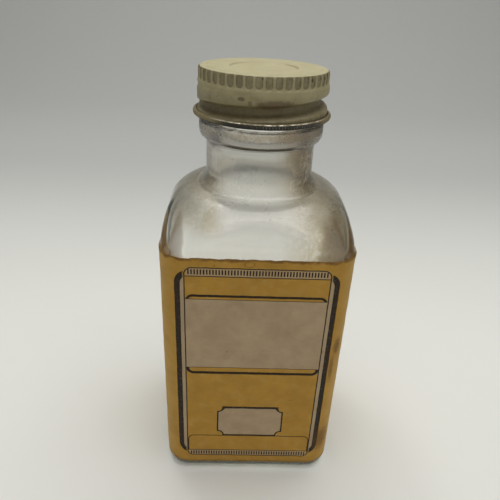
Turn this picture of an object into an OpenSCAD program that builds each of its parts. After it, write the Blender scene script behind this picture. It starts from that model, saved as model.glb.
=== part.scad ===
// Square glass prescription bottle with a pressed tinplate screw cap, its liner and a paper label.
// Millimetres. +Z is up; the origin is the middle of the base, and the label's front faces -Y.

/* [Glass body] */
// Width of the body over its flat sides
body_w = 45; // [37:0.5:56]
// Depth of the body over its flat sides
body_d = 45; // [37:0.5:56]
// Radius of the upright corners
corner_r = 6.4; // [4.5:0.1:9]
// Radius of the heel, where the sides turn under
heel_r = 2.5; // [1:0.1:3.2]
// Height at which the sides start to draw in to the shoulder
shoulder_z = 68.6; // [57:0.1:82]
// Rise of the shoulder, from the straight sides to the neck root
shoulder_rise = 9.2; // [7.5:0.1:12]
// How far below the shoulder the upright corners start to widen
corner_lead = 2.2; // [1:0.1:5]
// Thickness of the glass wall
wall = 2.2; // [1.6:0.1:3]
// Thickness of the glass at the floor of the cavity
base_t = 4; // [3:0.1:6]
// Radius of the shallow hollow under the base
pushup_r = 15.5; // [8:0.1:15.8]
// Height of the shallow hollow under the base
pushup_h = 1; // [0.4:0.1:1.8]

/* [Neck and finish] */
// Radius of the neck
neck_r = 12.85; // [10.7:0.05:15.5]
// Radius of the hollow blend from the shoulder into the neck
neck_fillet = 2; // [1.5:0.05:3]
// Length from the neck root up to the rim of the mouth
neck_len = 25; // [21:0.1:30]
// Radius of the threaded finish between its threads
finish_r = 12.6; // [10.5:0.05:15.2]
// Height of the threaded finish above the collar
finish_h = 9.6; // [9.4:0.1:11.6]
// How far the collar stands out from the finish
collar_out = 1.98; // [1:0.01:2.4]
// Radius of the collar's rounded under side
collar_bulge = 4; // [3.3:0.1:4.8]
// Height of the collar's straight upper part
collar_band = 1.8; // [1:0.1:2.2]
// Radius of the mouth bore
bore_r = 9.4; // [7.8:0.1:11.3]
// Length of the mouth bore
bore_len = 12; // [8:0.5:14]

/* [Screw thread] */
// Rise of the thread in one turn, six turns to the inch
pitch = 4.2333; // [3.9:0.0001:5.1]
// Height of the glass thread above the finish
thread_h = 1.1; // [0.9:0.05:1.3]
// Turns of glass thread
thread_turns = 1.1; // [0.8:0.05:1.3]
// Axial play between the glass thread and the rolled thread below it
thread_play = 0.2; // [0.15:0.05:0.3]
// Radial gap between the crest of the glass thread and the cap's skirt
crest_gap = 0.97; // [0.8:0.01:1.2]

/* [Cap] */
// Thickness of the tinplate
sheet_t = 0.28; // [0.22:0.01:0.34]
// Depth of the rolled thread, measured outside
groove_depth = 1.53; // [1.28:0.01:1.6]
// Gap between the collar and the foot of the cap
foot_gap = 0.8; // [0.3:0.02:1]
// How far the knurled band stands inside the plain skirt
knurl_step = 0.2; // [0:0.05:0.4]
// Height of the knurled band, from the top of the cap
knurl_end = 2.6; // [2:0.1:3.1]
// Number of flutes around the cap
flute_count = 45; // [30:1:48]
// Depth of a flute
flute_depth = 0.35; // [0.2:0.01:0.36]
// Width of a flute across its mouth
flute_w = 1.5; // [1:0.05:1.55]
// Radius of the rounded edge of the top
knuckle_r = 0.7; // [0.5:0.05:0.9]
// Radius of the sunk panel in the top
panel_r = 7.6; // [5:0.1:10]
// Depth of the sunk panel in the top
panel_drop = 0.35; // [0.1:0.05:0.4]
// Radius of the outward curl at the foot of the skirt
curl_r = 0.62; // [0.5:0.02:0.8]
// Gap between the curl's raw edge and the skirt
curl_gap = 0.16; // [0.1:0.02:0.2]

/* [Liner] */
// Thickness of the pulpboard pad
pad_t = 0.95; // [0.6:0.05:1.2]
// Thickness of the waxed facing
facing_t = 0.12; // [0.08:0.01:0.2]
// Radial gap between the liner and the flutes' inner faces
liner_gap = 0.5; // [0.3:0.05:0.8]

/* [Label] */
// Height of the label's lower edge above the table
label_z = 2.4; // [1:0.1:6]
// How far the label's upper edge stops below the shoulder
label_drop = 1.1; // [0:0.1:20]
// Thickness of the paper
paper_t = 0.12; // [0.08:0.01:0.2]
// How far the side flaps stop short of the back corners
flap_gap = 1; // [0:0.5:20]

/* [Hidden] */
$fn = 96;

corner_steps = 14;        // facets in each upright corner
shoulder_steps = 12;      // bands in the shoulder
round_steps = 4;          // bands in the heel and in the rounded floor
turn_steps = 48;          // facets in one turn of a thread
cut = 1;                  // how far a cutter runs past the face it cuts
ledge = 0.05;             // step where a turned form stands on a faceted one
roundness = 0.985;        // share of a full circle in the section at the neck root
widen = 1.5;              // how slowly the corners widen at first, as a power

// Glass, from the base up
neck_z = shoulder_z + shoulder_rise;
rim_z = neck_z + neck_len;
root_r = neck_r + neck_fillet + ledge;
collar_top = rim_z - finish_h;
collar_mid = collar_top - collar_band;
collar_r = finish_r + collar_out;
collar_edge = 0.7;        // rounded upper edge of the collar
finish_wall = finish_r - bore_r;
rim_out = min(0.6, finish_wall / 4);    // rounded outer edge of the rim
rim_in = min(0.7, finish_wall / 4);     // rounded inner edge of the rim
neck_in = neck_r - wall;
bore_z = rim_z - bore_len;
bore_blend = 3;           // length of the cone between the bore and the neck
floor_r = 3;              // rounded edge of the cavity's floor
pushup_slope = 3;         // how far the sides of the hollow under the base lean in

// Cap, from the rim up, from the thread's crest out and from the collar up
cap_top = rim_z + facing_t + pad_t + sheet_t + panel_drop;
skirt_in = finish_r + thread_h + crest_gap;
skirt_r = skirt_in + sheet_t;
knurl_r = skirt_r - knurl_step;
knurl_z = cap_top - knurl_end;
flute_h = knurl_end - knuckle_r;
flute_r = (pow(flute_w / 2, 2) + pow(flute_depth, 2)) / (2 * flute_depth);
flute_c = knurl_r - flute_depth + flute_r;
flute_in = knurl_r - flute_depth - sheet_t;
panel_edge = 0.5;         // width of the slope around the sunk panel
curl_c = skirt_in + curl_r;
curl_z = collar_top + foot_gap + curl_r;
liner_r = flute_in - liner_gap;

// Rolled thread in the cap: half widths at its tip and where it leaves the skirt
groove_tip = 0.45;
groove_root = 1.5;
groove_slope = (groove_root - groove_tip) / groove_depth;
flank_t = sheet_t * sqrt(1 + pow(groove_slope, 2));
groove_end_a = 600;       // direction in which the rolled thread runs out at the top, in degrees
groove_top_z = knurl_z - 0.52;
groove_low_z = curl_z + curl_r + 0.95;
groove_turns = (groove_top_z - groove_low_z) / pitch;
ridge_r = skirt_in - groove_depth;
ridge_half = groove_tip + flank_t - groove_slope * sheet_t;

// Glass thread: half widths at its crest and at the finish. It rides on the cap's rolled thread.
crest_half = 0.35;
foot_half = 1.15;
thread_slope = (foot_half - crest_half) / thread_h;
bite = finish_r + thread_h - ridge_r;
thread_lift = ridge_half + crest_half + bite * max(thread_slope, groove_slope) + thread_play;
thread_top_z = rim_z - foot_half - rim_out;
thread_end_a = groove_end_a + 360 * (thread_top_z - thread_lift - groove_top_z) / pitch;
thread_root = 0.4;        // how deep the glass thread is rooted in the finish
run_out = 60;             // angle over which a thread fades at its ends, in degrees
groove_fade = 150;        // angle over which the rolled thread fades at its top, in degrees
thin_end = 0.08;          // share of the full section left at the very end

// A closed skin over a stack of rings that all have the same number of points
module loft(rings) {
    n = len(rings[0]);
    last = len(rings) - 1;
    lower = [for (j = [0:n - 1]) j];
    sides = [for (k = [0:last - 1], j = [0:n - 1])
        [k * n + j, (k + 1) * n + j, (k + 1) * n + (j + 1) % n, k * n + (j + 1) % n]];
    upper = [for (j = [n - 1:-1:0]) last * n + j];
    polyhedron([for (ring = rings, p = ring) p], concat([lower], sides, [upper]), 10);
}

// One ring: a rectangle of half sizes ax and ay with corners of radius c, at height z
function section(ax, ay, c, z) = [for (q = [0:3], i = [0:corner_steps])
    let (a = 90 * (q + i / corner_steps),
         sx = (q == 0 || q == 3) ? 1 : -1,
         sy = q < 2 ? 1 : -1)
    [sx * (ax - c) + c * cos(a), sy * (ay - c) + c * sin(a), z]];

// Rings of the body's section drawn in by inset, round a lower edge of radius r that starts at z
function foot_rings(inset, r, z) = [for (i = [0:round_steps])
    let (a = 90 * i / round_steps,
         d = inset + r * (1 - sin(a)))
    section(body_w / 2 - d, body_d / 2 - d, max(corner_r - d, 0.4), z + r * (1 - cos(a)))];

// Rings up the shoulder: an elliptic sweep from the square body to a circle at the neck root.
// The first ring lies below the shoulder, where the corners start to widen.
function shoulder_rings(inset) = [for (i = [-1:shoulder_steps])
    let (a = 90 * max(i, 0) / shoulder_steps,
         rise = (shoulder_rise - inset) * sin(a) + (i < 0 ? 0 : corner_lead),
         ax = root_r + (body_w / 2 - root_r) * cos(a),
         ay = root_r + (body_d / 2 - root_r) * cos(a),
         squareness = 2 * corner_r / min(body_w, body_d),
         share = pow(sin(90 * rise / (shoulder_rise - inset + corner_lead)), widen),
         c = min(ax, ay) * (squareness + (roundness - squareness) * share))
    section(ax - inset, ay - inset, c - inset, shoulder_z - corner_lead + rise)];

// Section of the rolled thread, in radius and height, from tip to foot. With a skin of 0 it is
// the groove seen outside; with the sheet's thickness it is the ridge inside, rooted mid-sheet.
function rolled_profile(s, skin) =
    let (tip = skirt_r - skin - s * groove_depth,
         foot = skin > 0 ? skirt_r - sheet_t / 2 : skirt_r + cut,
         tip_half = s * groove_tip + (skin > 0 ? ridge_half - groove_tip : 0),
         foot_half = s * groove_root + (skin > 0 ? flank_t - groove_slope * sheet_t / 2 : 0))
    [[tip, -tip_half], [tip, tip_half], [foot, foot_half], [foot, -foot_half]];

// Section of the glass thread, in radius and height, from foot to crest
function glass_profile(s) =
    let (foot = finish_r - thread_root,
         crest = finish_r + s * thread_h,
         half = s * (foot_half + thread_root * thread_slope))
    [[foot, -half], [foot, half], [crest, s * crest_half], [crest, -s * crest_half]];

// A section wound up a right-hand helix that ends at direction end_a and height top_z.
// profile(s) gives the section, and s falls towards both ends, over the angle fade at the top.
module wind(end_a, top_z, turns, fade, profile) {
    steps = ceil(turns * turn_steps);
    step_a = 360 / turn_steps;
    loft([for (i = [0:steps])
        let (a = end_a - (steps - i) * step_a,
             z = top_z - pitch * (steps - i) / turn_steps,
             s = max(thin_end, min(1, i * step_a / run_out, (steps - i) * step_a / fade)))
        [for (p = profile(s)) [p[0] * cos(a), p[0] * sin(a), z + p[1]]]]);
}

// Half section of a disc of radius r and height h whose upper edge is rounded by k
module disc_section(r, h, k) {
    square([r, h - k]);
    square([r - k, h]);
    translate([r - k, h - k]) circle(k);
}

// Half section of the neck, collar and finish
module neck_section() {
    translate([0, neck_z]) difference() {
        square([neck_r + neck_fillet, neck_fillet]);
        translate([neck_r + neck_fillet, neck_fillet]) circle(neck_fillet);
    }
    translate([0, neck_z - cut]) square([neck_r, collar_mid - neck_z + cut]);
    intersection() {
        translate([collar_r - collar_bulge, collar_mid]) circle(collar_bulge);
        translate([0, collar_mid - collar_bulge]) square([collar_r, collar_bulge]);
    }
    translate([0, collar_mid]) disc_section(collar_r, collar_band, collar_edge);
    translate([0, collar_mid]) disc_section(finish_r, rim_z - collar_mid, rim_out);
}

// Half section of the way in: the bore with its rounded lip, the neck and its blend to the cavity
module mouth_section() {
    blend_r = root_r - wall - ledge;
    blend_h = blend_r - neck_in;
    neck_low = neck_z - wall;
    translate([0, bore_z]) square([bore_r, bore_len + cut]);
    translate([0, rim_z - rim_in]) difference() {
        square([bore_r + rim_in, rim_in + cut]);
        translate([bore_r + rim_in, 0]) circle(rim_in);
    }
    polygon([[0, bore_z], [bore_r, bore_z], [neck_in, bore_z - bore_blend], [0, bore_z - bore_blend]]);
    translate([0, neck_low]) square([neck_in, bore_z - bore_blend - neck_low]);
    polygon([[0, neck_low - cut], [blend_r - cut, neck_low - cut], [blend_r, neck_low],
             [neck_in, neck_low + blend_h], [0, neck_low + blend_h]]);
}

module glass_bottle() {
    color([0.82, 0.87, 0.85, 0.45]) difference() {
        union() {
            loft(concat(foot_rings(0, heel_r, 0), shoulder_rings(0)));
            rotate_extrude() neck_section();
            wind(thread_end_a, thread_top_z, thread_turns, run_out, function(s) glass_profile(s));
        }
        loft(concat(foot_rings(wall, floor_r, base_t), shoulder_rings(wall)));
        rotate_extrude() mouth_section();
        translate([0, 0, -cut]) cylinder(r = pushup_r, h = cut);
        cylinder(r1 = pushup_r, r2 = pushup_r - pushup_slope, h = pushup_h);
    }
}

// Outline of the knurled band, drawn in by skin
module fluted(skin) {
    difference() {
        circle(knurl_r - skin);
        for (i = [0:flute_count - 1])
            rotate(360 * i / flute_count) translate([flute_c, 0]) circle(flute_r + skin, $fn = 48);
    }
}

// Half section of the cap before it is hollowed
module cap_section() {
    translate([0, curl_z]) square([skirt_r, knurl_z - curl_z]);
    translate([0, knurl_z]) disc_section(knurl_r, knurl_end, knuckle_r);
}

// Half section of the cap's hollow, which follows the sunk panel under the top
module hollow_section() {
    under = cap_top - sheet_t;
    translate([0, curl_z - cut]) square([skirt_in, knurl_z - sheet_t - curl_z + cut]);
    polygon([[0, knurl_z - sheet_t - cut], [flute_in, knurl_z - sheet_t - cut], [flute_in, under],
             [panel_r + panel_edge / 2, under], [panel_r - panel_edge / 2, under - panel_drop],
             [0, under - panel_drop]]);
}

// Half section of what is pressed down to make the sunk panel
module panel_section() {
    polygon([[0, cap_top - panel_drop], [panel_r - panel_edge / 2, cap_top - panel_drop],
             [panel_r + panel_edge / 2, cap_top], [panel_r + panel_edge / 2, cap_top + cut],
             [0, cap_top + cut]]);
}

// Half section of the open curl at the foot of the skirt
module curl_section() {
    difference() {
        translate([curl_c, curl_z]) circle(curl_r);
        translate([curl_c, curl_z]) circle(curl_r - sheet_t);
        translate([skirt_r, curl_z]) square([curl_gap, curl_r + cut]);
    }
}

module cap_shell() {
    color([0.80, 0.77, 0.62]) difference() {
        union() {
            difference() {
                rotate_extrude() cap_section();
                rotate_extrude() hollow_section();
                rotate_extrude() panel_section();
                translate([0, 0, knurl_z]) linear_extrude(flute_h) difference() {
                    circle(knurl_r + cut);
                    fluted(0);
                }
                translate([0, 0, knurl_z]) linear_extrude(flute_h) fluted(sheet_t);
            }
            rotate_extrude() curl_section();
            wind(groove_end_a, groove_top_z, groove_turns, groove_fade,
                 function(s) rolled_profile(s, sheet_t));
        }
        wind(groove_end_a, groove_top_z, groove_turns, groove_fade,
             function(s) rolled_profile(s, 0));
    }
}

module liner_pad() {
    color([0.66, 0.55, 0.40]) translate([0, 0, rim_z + facing_t]) cylinder(r = liner_r, h = pad_t);
}

module liner_facing() {
    color([0.86, 0.84, 0.76]) translate([0, 0, rim_z]) cylinder(r = liner_r, h = facing_t);
}

// Outline of the body drawn out by grow
module body_outline(grow) {
    w = body_w + 2 * grow;
    d = body_d + 2 * grow;
    r = corner_r + grow;
    square([w - 2 * r, d], center = true);
    square([w, d - 2 * r], center = true);
    for (sx = [-1, 1], sy = [-1, 1])
        translate([sx * (w / 2 - r), sy * (d / 2 - r)]) circle(r);
}

module label() {
    front = body_d / 2 + cut;
    flap_end = body_d / 2 - corner_r - flap_gap;
    height = shoulder_z - label_drop - label_z;
    color([0.62, 0.49, 0.26]) translate([0, 0, label_z]) linear_extrude(height)
        difference() {
            intersection() {
                body_outline(paper_t);
                translate([-body_w, -front]) square([2 * body_w, front + flap_end]);
            }
            body_outline(0);
        }
}

glass_bottle();
cap_shell();
liner_pad();
liner_facing();
label();
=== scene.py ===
import logging
import math
from dataclasses import dataclass
from enum import Enum
from typing import Callable, ClassVar, Dict, Iterable, List, Optional, Sequence, Tuple, Union

import bpy
import numpy as np
from mathutils import Matrix


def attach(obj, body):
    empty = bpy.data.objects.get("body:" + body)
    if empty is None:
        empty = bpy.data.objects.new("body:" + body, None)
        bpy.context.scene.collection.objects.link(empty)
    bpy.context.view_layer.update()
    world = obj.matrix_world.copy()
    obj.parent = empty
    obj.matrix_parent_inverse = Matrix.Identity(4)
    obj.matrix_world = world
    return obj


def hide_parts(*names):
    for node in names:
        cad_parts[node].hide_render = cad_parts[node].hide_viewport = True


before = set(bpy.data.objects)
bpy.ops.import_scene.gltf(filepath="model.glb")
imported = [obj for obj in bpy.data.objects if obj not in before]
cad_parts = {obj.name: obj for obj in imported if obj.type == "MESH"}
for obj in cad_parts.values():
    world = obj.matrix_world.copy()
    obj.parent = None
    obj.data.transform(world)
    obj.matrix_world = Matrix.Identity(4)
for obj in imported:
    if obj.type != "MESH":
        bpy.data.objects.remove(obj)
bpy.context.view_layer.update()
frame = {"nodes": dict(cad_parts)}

LOG = logging.getLogger("prescription_bottle")
MM = 0.001
TAU = 2 * math.pi

# Sizes in millimetres, and a count, that more than one piece or finish is built to.
BODY_HALF = 22.5
BODY_CORNER = 6.4
RIM_Z = 102.8
PITCH = 4.2333
CAP_TOP = 104.5
CURL_Z = 94.66
CURL_TEETH = 150

Rgb = Tuple[float, float, float]
Place = Tuple[float, float, float]
Span = Tuple[float, float]
Number = Union[float, "Wire"]
Profile = List[Tuple[float, float]]


class Body(Enum):
    """The bodies that the pieces ride on."""

    BOTTLE = "bottle"
    LINER = "liner"
    CAP = "cap"


class Slot(Enum):
    """The material slots."""

    GLASS = "clear_glass"
    PAPER = "label_paper"
    ENAMEL = "cap_enamel"
    PULPBOARD = "pulpboard"
    WAX = "waxed_facing"


class Kind(Enum):
    """The kinds of input that a group of nodes takes."""

    NUMBER = "NodeSocketFloat"
    VECTOR = "NodeSocketVector"
    MATERIAL = "NodeSocketMaterial"
    MESH = "NodeSocketGeometry"


def srgb(red: int, green: int, blue: int) -> Rgb:
    """Turns a colour given as 0 to 255 on screen into the linear values that shaders take.

    Args:
        red: Red, 0 to 255.
        green: Green, 0 to 255.
        blue: Blue, 0 to 255.

    Returns:
        The linear red, green and blue.
    """
    return tuple(
        c / 12.92 if c <= 0.04045 else ((c + 0.055) / 1.055) ** 2.4
        for c in (red / 255, green / 255, blue / 255)
    )


# ---------------------------------------------------------------------------------------------
# Node trees
# ---------------------------------------------------------------------------------------------


class Wire:
    """A value that flows through a node tree. Arithmetic on it adds Math nodes."""

    def __init__(self, graph: "Graph", socket: bpy.types.NodeSocket) -> None:
        """Keeps the output socket that carries the value."""
        self.graph = graph
        self.socket = socket

    def __add__(self, other: Number) -> "Wire":
        """Adds a number or another value."""
        return self.graph.math("ADD", self, other)

    def __sub__(self, other: Number) -> "Wire":
        """Takes away a number or another value."""
        return self.graph.math("SUBTRACT", self, other)

    def __rsub__(self, other: float) -> "Wire":
        """Takes this value away from a number."""
        return self.graph.math("SUBTRACT", other, self)

    def __mul__(self, other: Number) -> "Wire":
        """Multiplies by a number or another value."""
        return self.graph.math("MULTIPLY", self, other)

    def __truediv__(self, other: Number) -> "Wire":
        """Divides by a number or another value."""
        return self.graph.math("DIVIDE", self, other)

    def __abs__(self) -> "Wire":
        """Gives the size of the value without its sign."""
        return self.graph.math("ABSOLUTE", self)

    __radd__ = __add__
    __rmul__ = __mul__


class Graph:
    """Builds one node tree: a finish, a group of shader nodes or a geometry tree."""

    def __init__(self, tree: bpy.types.NodeTree) -> None:
        """Keeps the tree that the nodes go into."""
        self.tree = tree

    def feed(self, socket: bpy.types.NodeSocket, value: object) -> None:
        """Links a wire to an input, or sets the input's own value.

        Args:
            socket: The input.
            value: A wire, a number, a vector, a colour or a data block.
        """
        if isinstance(value, Wire):
            self.tree.links.new(value.socket, socket)
        elif socket.type == "RGBA" and len(value) == 3:
            socket.default_value = (*value, 1)
        else:
            socket.default_value = value

    def node(self, kind: str, inputs: Optional[dict] = None, **settings: object) -> bpy.types.Node:
        """Adds a node.

        Args:
            kind: The node's type name.
            inputs: What goes into its inputs, by name or number.
            settings: Its properties.

        Returns:
            The new node.
        """
        node = self.tree.nodes.new(kind)
        for name, value in settings.items():
            setattr(node, name, value)
        for name, value in (inputs or {}).items():
            self.feed(node.inputs[name], value)
        return node

    def get(self, kind: str, inputs: Optional[dict] = None, out: Union[int, str] = 0,
            **settings: object) -> Wire:
        """Adds a node and gives one of its outputs.

        Args:
            kind: The node's type name.
            inputs: What goes into its inputs, by name or number.
            out: The output's name or number.
            settings: The node's properties.

        Returns:
            The output as a wire.
        """
        return Wire(self, self.node(kind, inputs, **settings).outputs[out])

    def math(self, operation: str, *values: Number) -> Wire:
        """Adds a Math node.

        Args:
            operation: Its operation.
            values: Its inputs, in order.

        Returns:
            Its result.
        """
        return self.get("ShaderNodeMath", dict(enumerate(values)), operation=operation)

    def most(self, first: Number, *others: Number) -> Wire:
        """Gives the largest of several values.

        Args:
            first: The first value.
            others: The others.

        Returns:
            The largest.
        """
        for other in others:
            first = self.math("MAXIMUM", first, other)
        return first

    def least(self, first: Number, *others: Number) -> Wire:
        """Gives the smallest of several values.

        Args:
            first: The first value.
            others: The others.

        Returns:
            The smallest.
        """
        for other in others:
            first = self.math("MINIMUM", first, other)
        return first

    def step(self, value: Wire, start: Number, end: Number) -> Wire:
        """Rises smoothly from 0 where value is start to 1 where it is end.

        Args:
            value: What is compared.
            start: Where the rise starts. It may lie above end.
            end: Where the rise ends.

        Returns:
            A mask from 0 to 1.
        """
        return self.get("ShaderNodeMapRange", {0: value, 1: start, 2: end},
                        interpolation_type="SMOOTHSTEP")

    def band(self, value: Wire, low: Number, high: Number, soft: float) -> Wire:
        """Gives 1 where value lies between low and high, with soft edges.

        Args:
            value: What is compared.
            low: The lower edge.
            high: The upper edge.
            soft: The width of each edge.

        Returns:
            A mask from 0 to 1.
        """
        return (self.step(value, low, low + soft)
                * self.step(value, high, high - soft))

    def mix(self, share: Number, first: object, second: object) -> Wire:
        """Mixes two colours.

        Args:
            share: How much of the second shows.
            first: The first colour.
            second: The second colour.

        Returns:
            The mixed colour.
        """
        node = self.node("ShaderNodeMix", data_type="RGBA")
        factor, one, two = node.inputs[0], node.inputs[6], node.inputs[7]
        for socket, value in ((factor, share), (one, first), (two, second)):
            self.feed(socket, value)
        return Wire(self, node.outputs[2])

    def blend(self, share: Number, first: Number, second: Number) -> Wire:
        """Mixes two numbers.

        Args:
            share: How much of the second counts.
            first: The first number.
            second: The second number.

        Returns:
            The mixed number.
        """
        return self.get("ShaderNodeMix", {0: share, 2: first, 3: second})

    def noise(self, point: Wire, scale: Number, detail: float = 4, rough: float = 0.55,
              twist: float = 0) -> Wire:
        """Adds fractal noise around one half.

        Args:
            point: Where it is read.
            scale: Its frequency.
            detail: How many finer layers it has.
            rough: How strong the finer layers are.
            twist: How far it is drawn out of shape.

        Returns:
            The noise.
        """
        return self.get("ShaderNodeTexNoise", {"Vector": point, "Scale": scale, "Detail": detail,
                                               "Roughness": rough, "Distortion": twist})

    def parts(self, point: Wire) -> Tuple[Wire, Wire, Wire]:
        """Splits a vector into its three numbers."""
        split = self.node("ShaderNodeSeparateXYZ", {0: point})
        return tuple(Wire(self, socket) for socket in split.outputs)

    def vector(self, x: Number, y: Number, z: Number) -> Wire:
        """Joins three numbers into a vector."""
        return self.get("ShaderNodeCombineXYZ", {0: x, 1: y, 2: z})

    def scaled(self, point: Wire, size: Sequence[float]) -> Wire:
        """Stretches a vector along each axis."""
        return self.get("ShaderNodeVectorMath", {0: point, 1: size}, operation="MULTIPLY")

    def use(self, group: bpy.types.NodeTree, out: Union[int, str] = 0, **inputs: object) -> Wire:
        """Adds a group and gives one of its outputs.

        Args:
            group: The group's node tree.
            out: The output's name or number.
            inputs: What goes into its inputs, by name, with _ for a space.

        Returns:
            The output as a wire.
        """
        kind = "ShaderNodeGroup" if group.type == "SHADER" else "GeometryNodeGroup"
        node = self.node(kind, node_tree=group)
        for name, value in inputs.items():
            self.feed(node.inputs[name.replace("_", " ")], value)
        return Wire(self, node.outputs[out])


class Group(Graph):
    """A group of nodes with named inputs and outputs, built once and used in several places."""

    def __init__(self, name: str, inputs: Dict[str, Kind], outputs: Dict[str, Kind],
                 tree_type: str = "ShaderNodeTree") -> None:
        """Makes the group's tree, its sockets and its two end nodes.

        Args:
            name: The group's name.
            inputs: Its inputs.
            outputs: Its outputs.
            tree_type: Whether its nodes are shader or geometry nodes.
        """
        super().__init__(bpy.data.node_groups.new(name, tree_type))
        for way, sockets in (("INPUT", inputs), ("OUTPUT", outputs)):
            for socket, kind in sockets.items():
                self.tree.interface.new_socket(socket, in_out=way, socket_type=kind.value)
        self.start = self.tree.nodes.new("NodeGroupInput")
        self.end = self.tree.nodes.new("NodeGroupOutput")

    def given(self, name: str) -> Wire:
        """Gives one of the group's inputs."""
        return Wire(self, self.start.outputs[name])

    def done(self, **values: Wire) -> bpy.types.NodeTree:
        """Links the group's outputs and gives its tree.

        Args:
            values: What each output carries, with _ for a space in its name.

        Returns:
            The finished tree.
        """
        for name, value in values.items():
            self.feed(self.end.inputs[name.replace("_", " ")], value)
        return self.tree


class Effects:
    """The groups of shader nodes that more than one finish uses."""

    def __init__(self) -> None:
        """Builds every group once."""
        self.grime = self._grime()
        self.flecks = self._flecks()
        self.blot = self._blot()
        self.fibre = self._fibre()

    @staticmethod
    def _grime() -> bpy.types.NodeTree:
        """Builds uneven dirt: Cover is how much of the surface it takes, from 0 to 1.

        Returns:
            The group's tree.
        """
        g = Group("Grime", {"Point": Kind.VECTOR, "Scale": Kind.NUMBER, "Cover": Kind.NUMBER,
                            "Softness": Kind.NUMBER}, {"Mask": Kind.NUMBER})
        grain = g.noise(g.given("Point"), g.given("Scale"), 6, 0.62, 0.35)
        edge = 0.76 - g.given("Cover") * 0.52
        soft = g.given("Softness") * 0.5
        return g.done(Mask=g.step(grain, edge - soft, edge + soft))

    @staticmethod
    def _flecks() -> bpy.types.NodeTree:
        """Builds scattered specks: Share of the cells hold one, of a size up to Size cells.

        Returns:
            The group's tree.
        """
        g = Group("Flecks", {"Point": Kind.VECTOR, "Scale": Kind.NUMBER, "Share": Kind.NUMBER,
                             "Size": Kind.NUMBER}, {"Mask": Kind.NUMBER})
        point = g.given("Point")
        cells = g.node("ShaderNodeTexVoronoi", {"Vector": point, "Scale": g.given("Scale")})
        chance, spread, _ = g.parts(Wire(g, cells.outputs["Color"]))
        ragged = g.noise(point, g.given("Scale") * 3, 2) * 0.5 + 0.75
        reach = g.given("Size") * (0.35 + spread * 0.65) * ragged
        near = g.step(Wire(g, cells.outputs["Distance"]), reach, reach * 0.6)
        return g.done(Mask=near * g.step(chance, g.given("Share"), g.given("Share") - 0.01))

    @staticmethod
    def _blot() -> bpy.types.NodeTree:
        """Builds one ragged patch around Centre, with Reach along each axis.

        Returns:
            The group's tree.
        """
        g = Group("Blot", {"Point": Kind.VECTOR, "Centre": Kind.VECTOR, "Reach": Kind.VECTOR,
                           "Ragged": Kind.NUMBER, "Softness": Kind.NUMBER},
                  {"Mask": Kind.NUMBER, "Rim": Kind.NUMBER})
        away = g.get("ShaderNodeVectorMath", {0: g.given("Point"), 1: g.given("Centre")},
                     operation="SUBTRACT")
        share = g.get("ShaderNodeVectorMath", {0: away, 1: g.given("Reach")}, operation="DIVIDE")
        size = g.get("ShaderNodeVectorMath", {0: share}, out="Value", operation="LENGTH")
        torn = (g.noise(g.given("Point"), 1.1, 5, 0.6) - 0.5) * g.given("Ragged")
        far = size + torn
        mask = g.step(far, 1 + g.given("Softness"), 1 - g.given("Softness"))
        rim = mask * g.step(far, 0.6, 0.95)
        return g.done(Mask=mask, Rim=rim)

    @staticmethod
    def _fibre() -> bpy.types.NodeTree:
        """Builds the felted fibres of paper and board, as a height and a mottle around one half.

        Returns:
            The group's tree.
        """
        g = Group("Fibre", {"Point": Kind.VECTOR, "Scale": Kind.NUMBER},
                  {"Height": Kind.NUMBER, "Mottle": Kind.NUMBER})
        point, scale = g.given("Point"), g.given("Scale")
        long_way = g.noise(g.scaled(point, (0.22, 1, 0.6)), scale, 3, 0.6, 0.9)
        cross_way = g.noise(g.scaled(point, (1, 0.25, 1)), scale, 3, 0.6, 0.9)
        cloud = g.noise(point, scale * 0.12, 4)
        return g.done(Height=g.most(long_way, cross_way), Mottle=cloud * 0.6 + long_way * 0.4)


# ---------------------------------------------------------------------------------------------
# Finishes
# ---------------------------------------------------------------------------------------------


@dataclass(frozen=True)
class Patch:
    """One ragged stain, with its middle and its reach along each axis in millimetres."""

    centre: Place
    reach: Place
    ragged: float
    soft: float
    strength: float = 1.0


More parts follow.
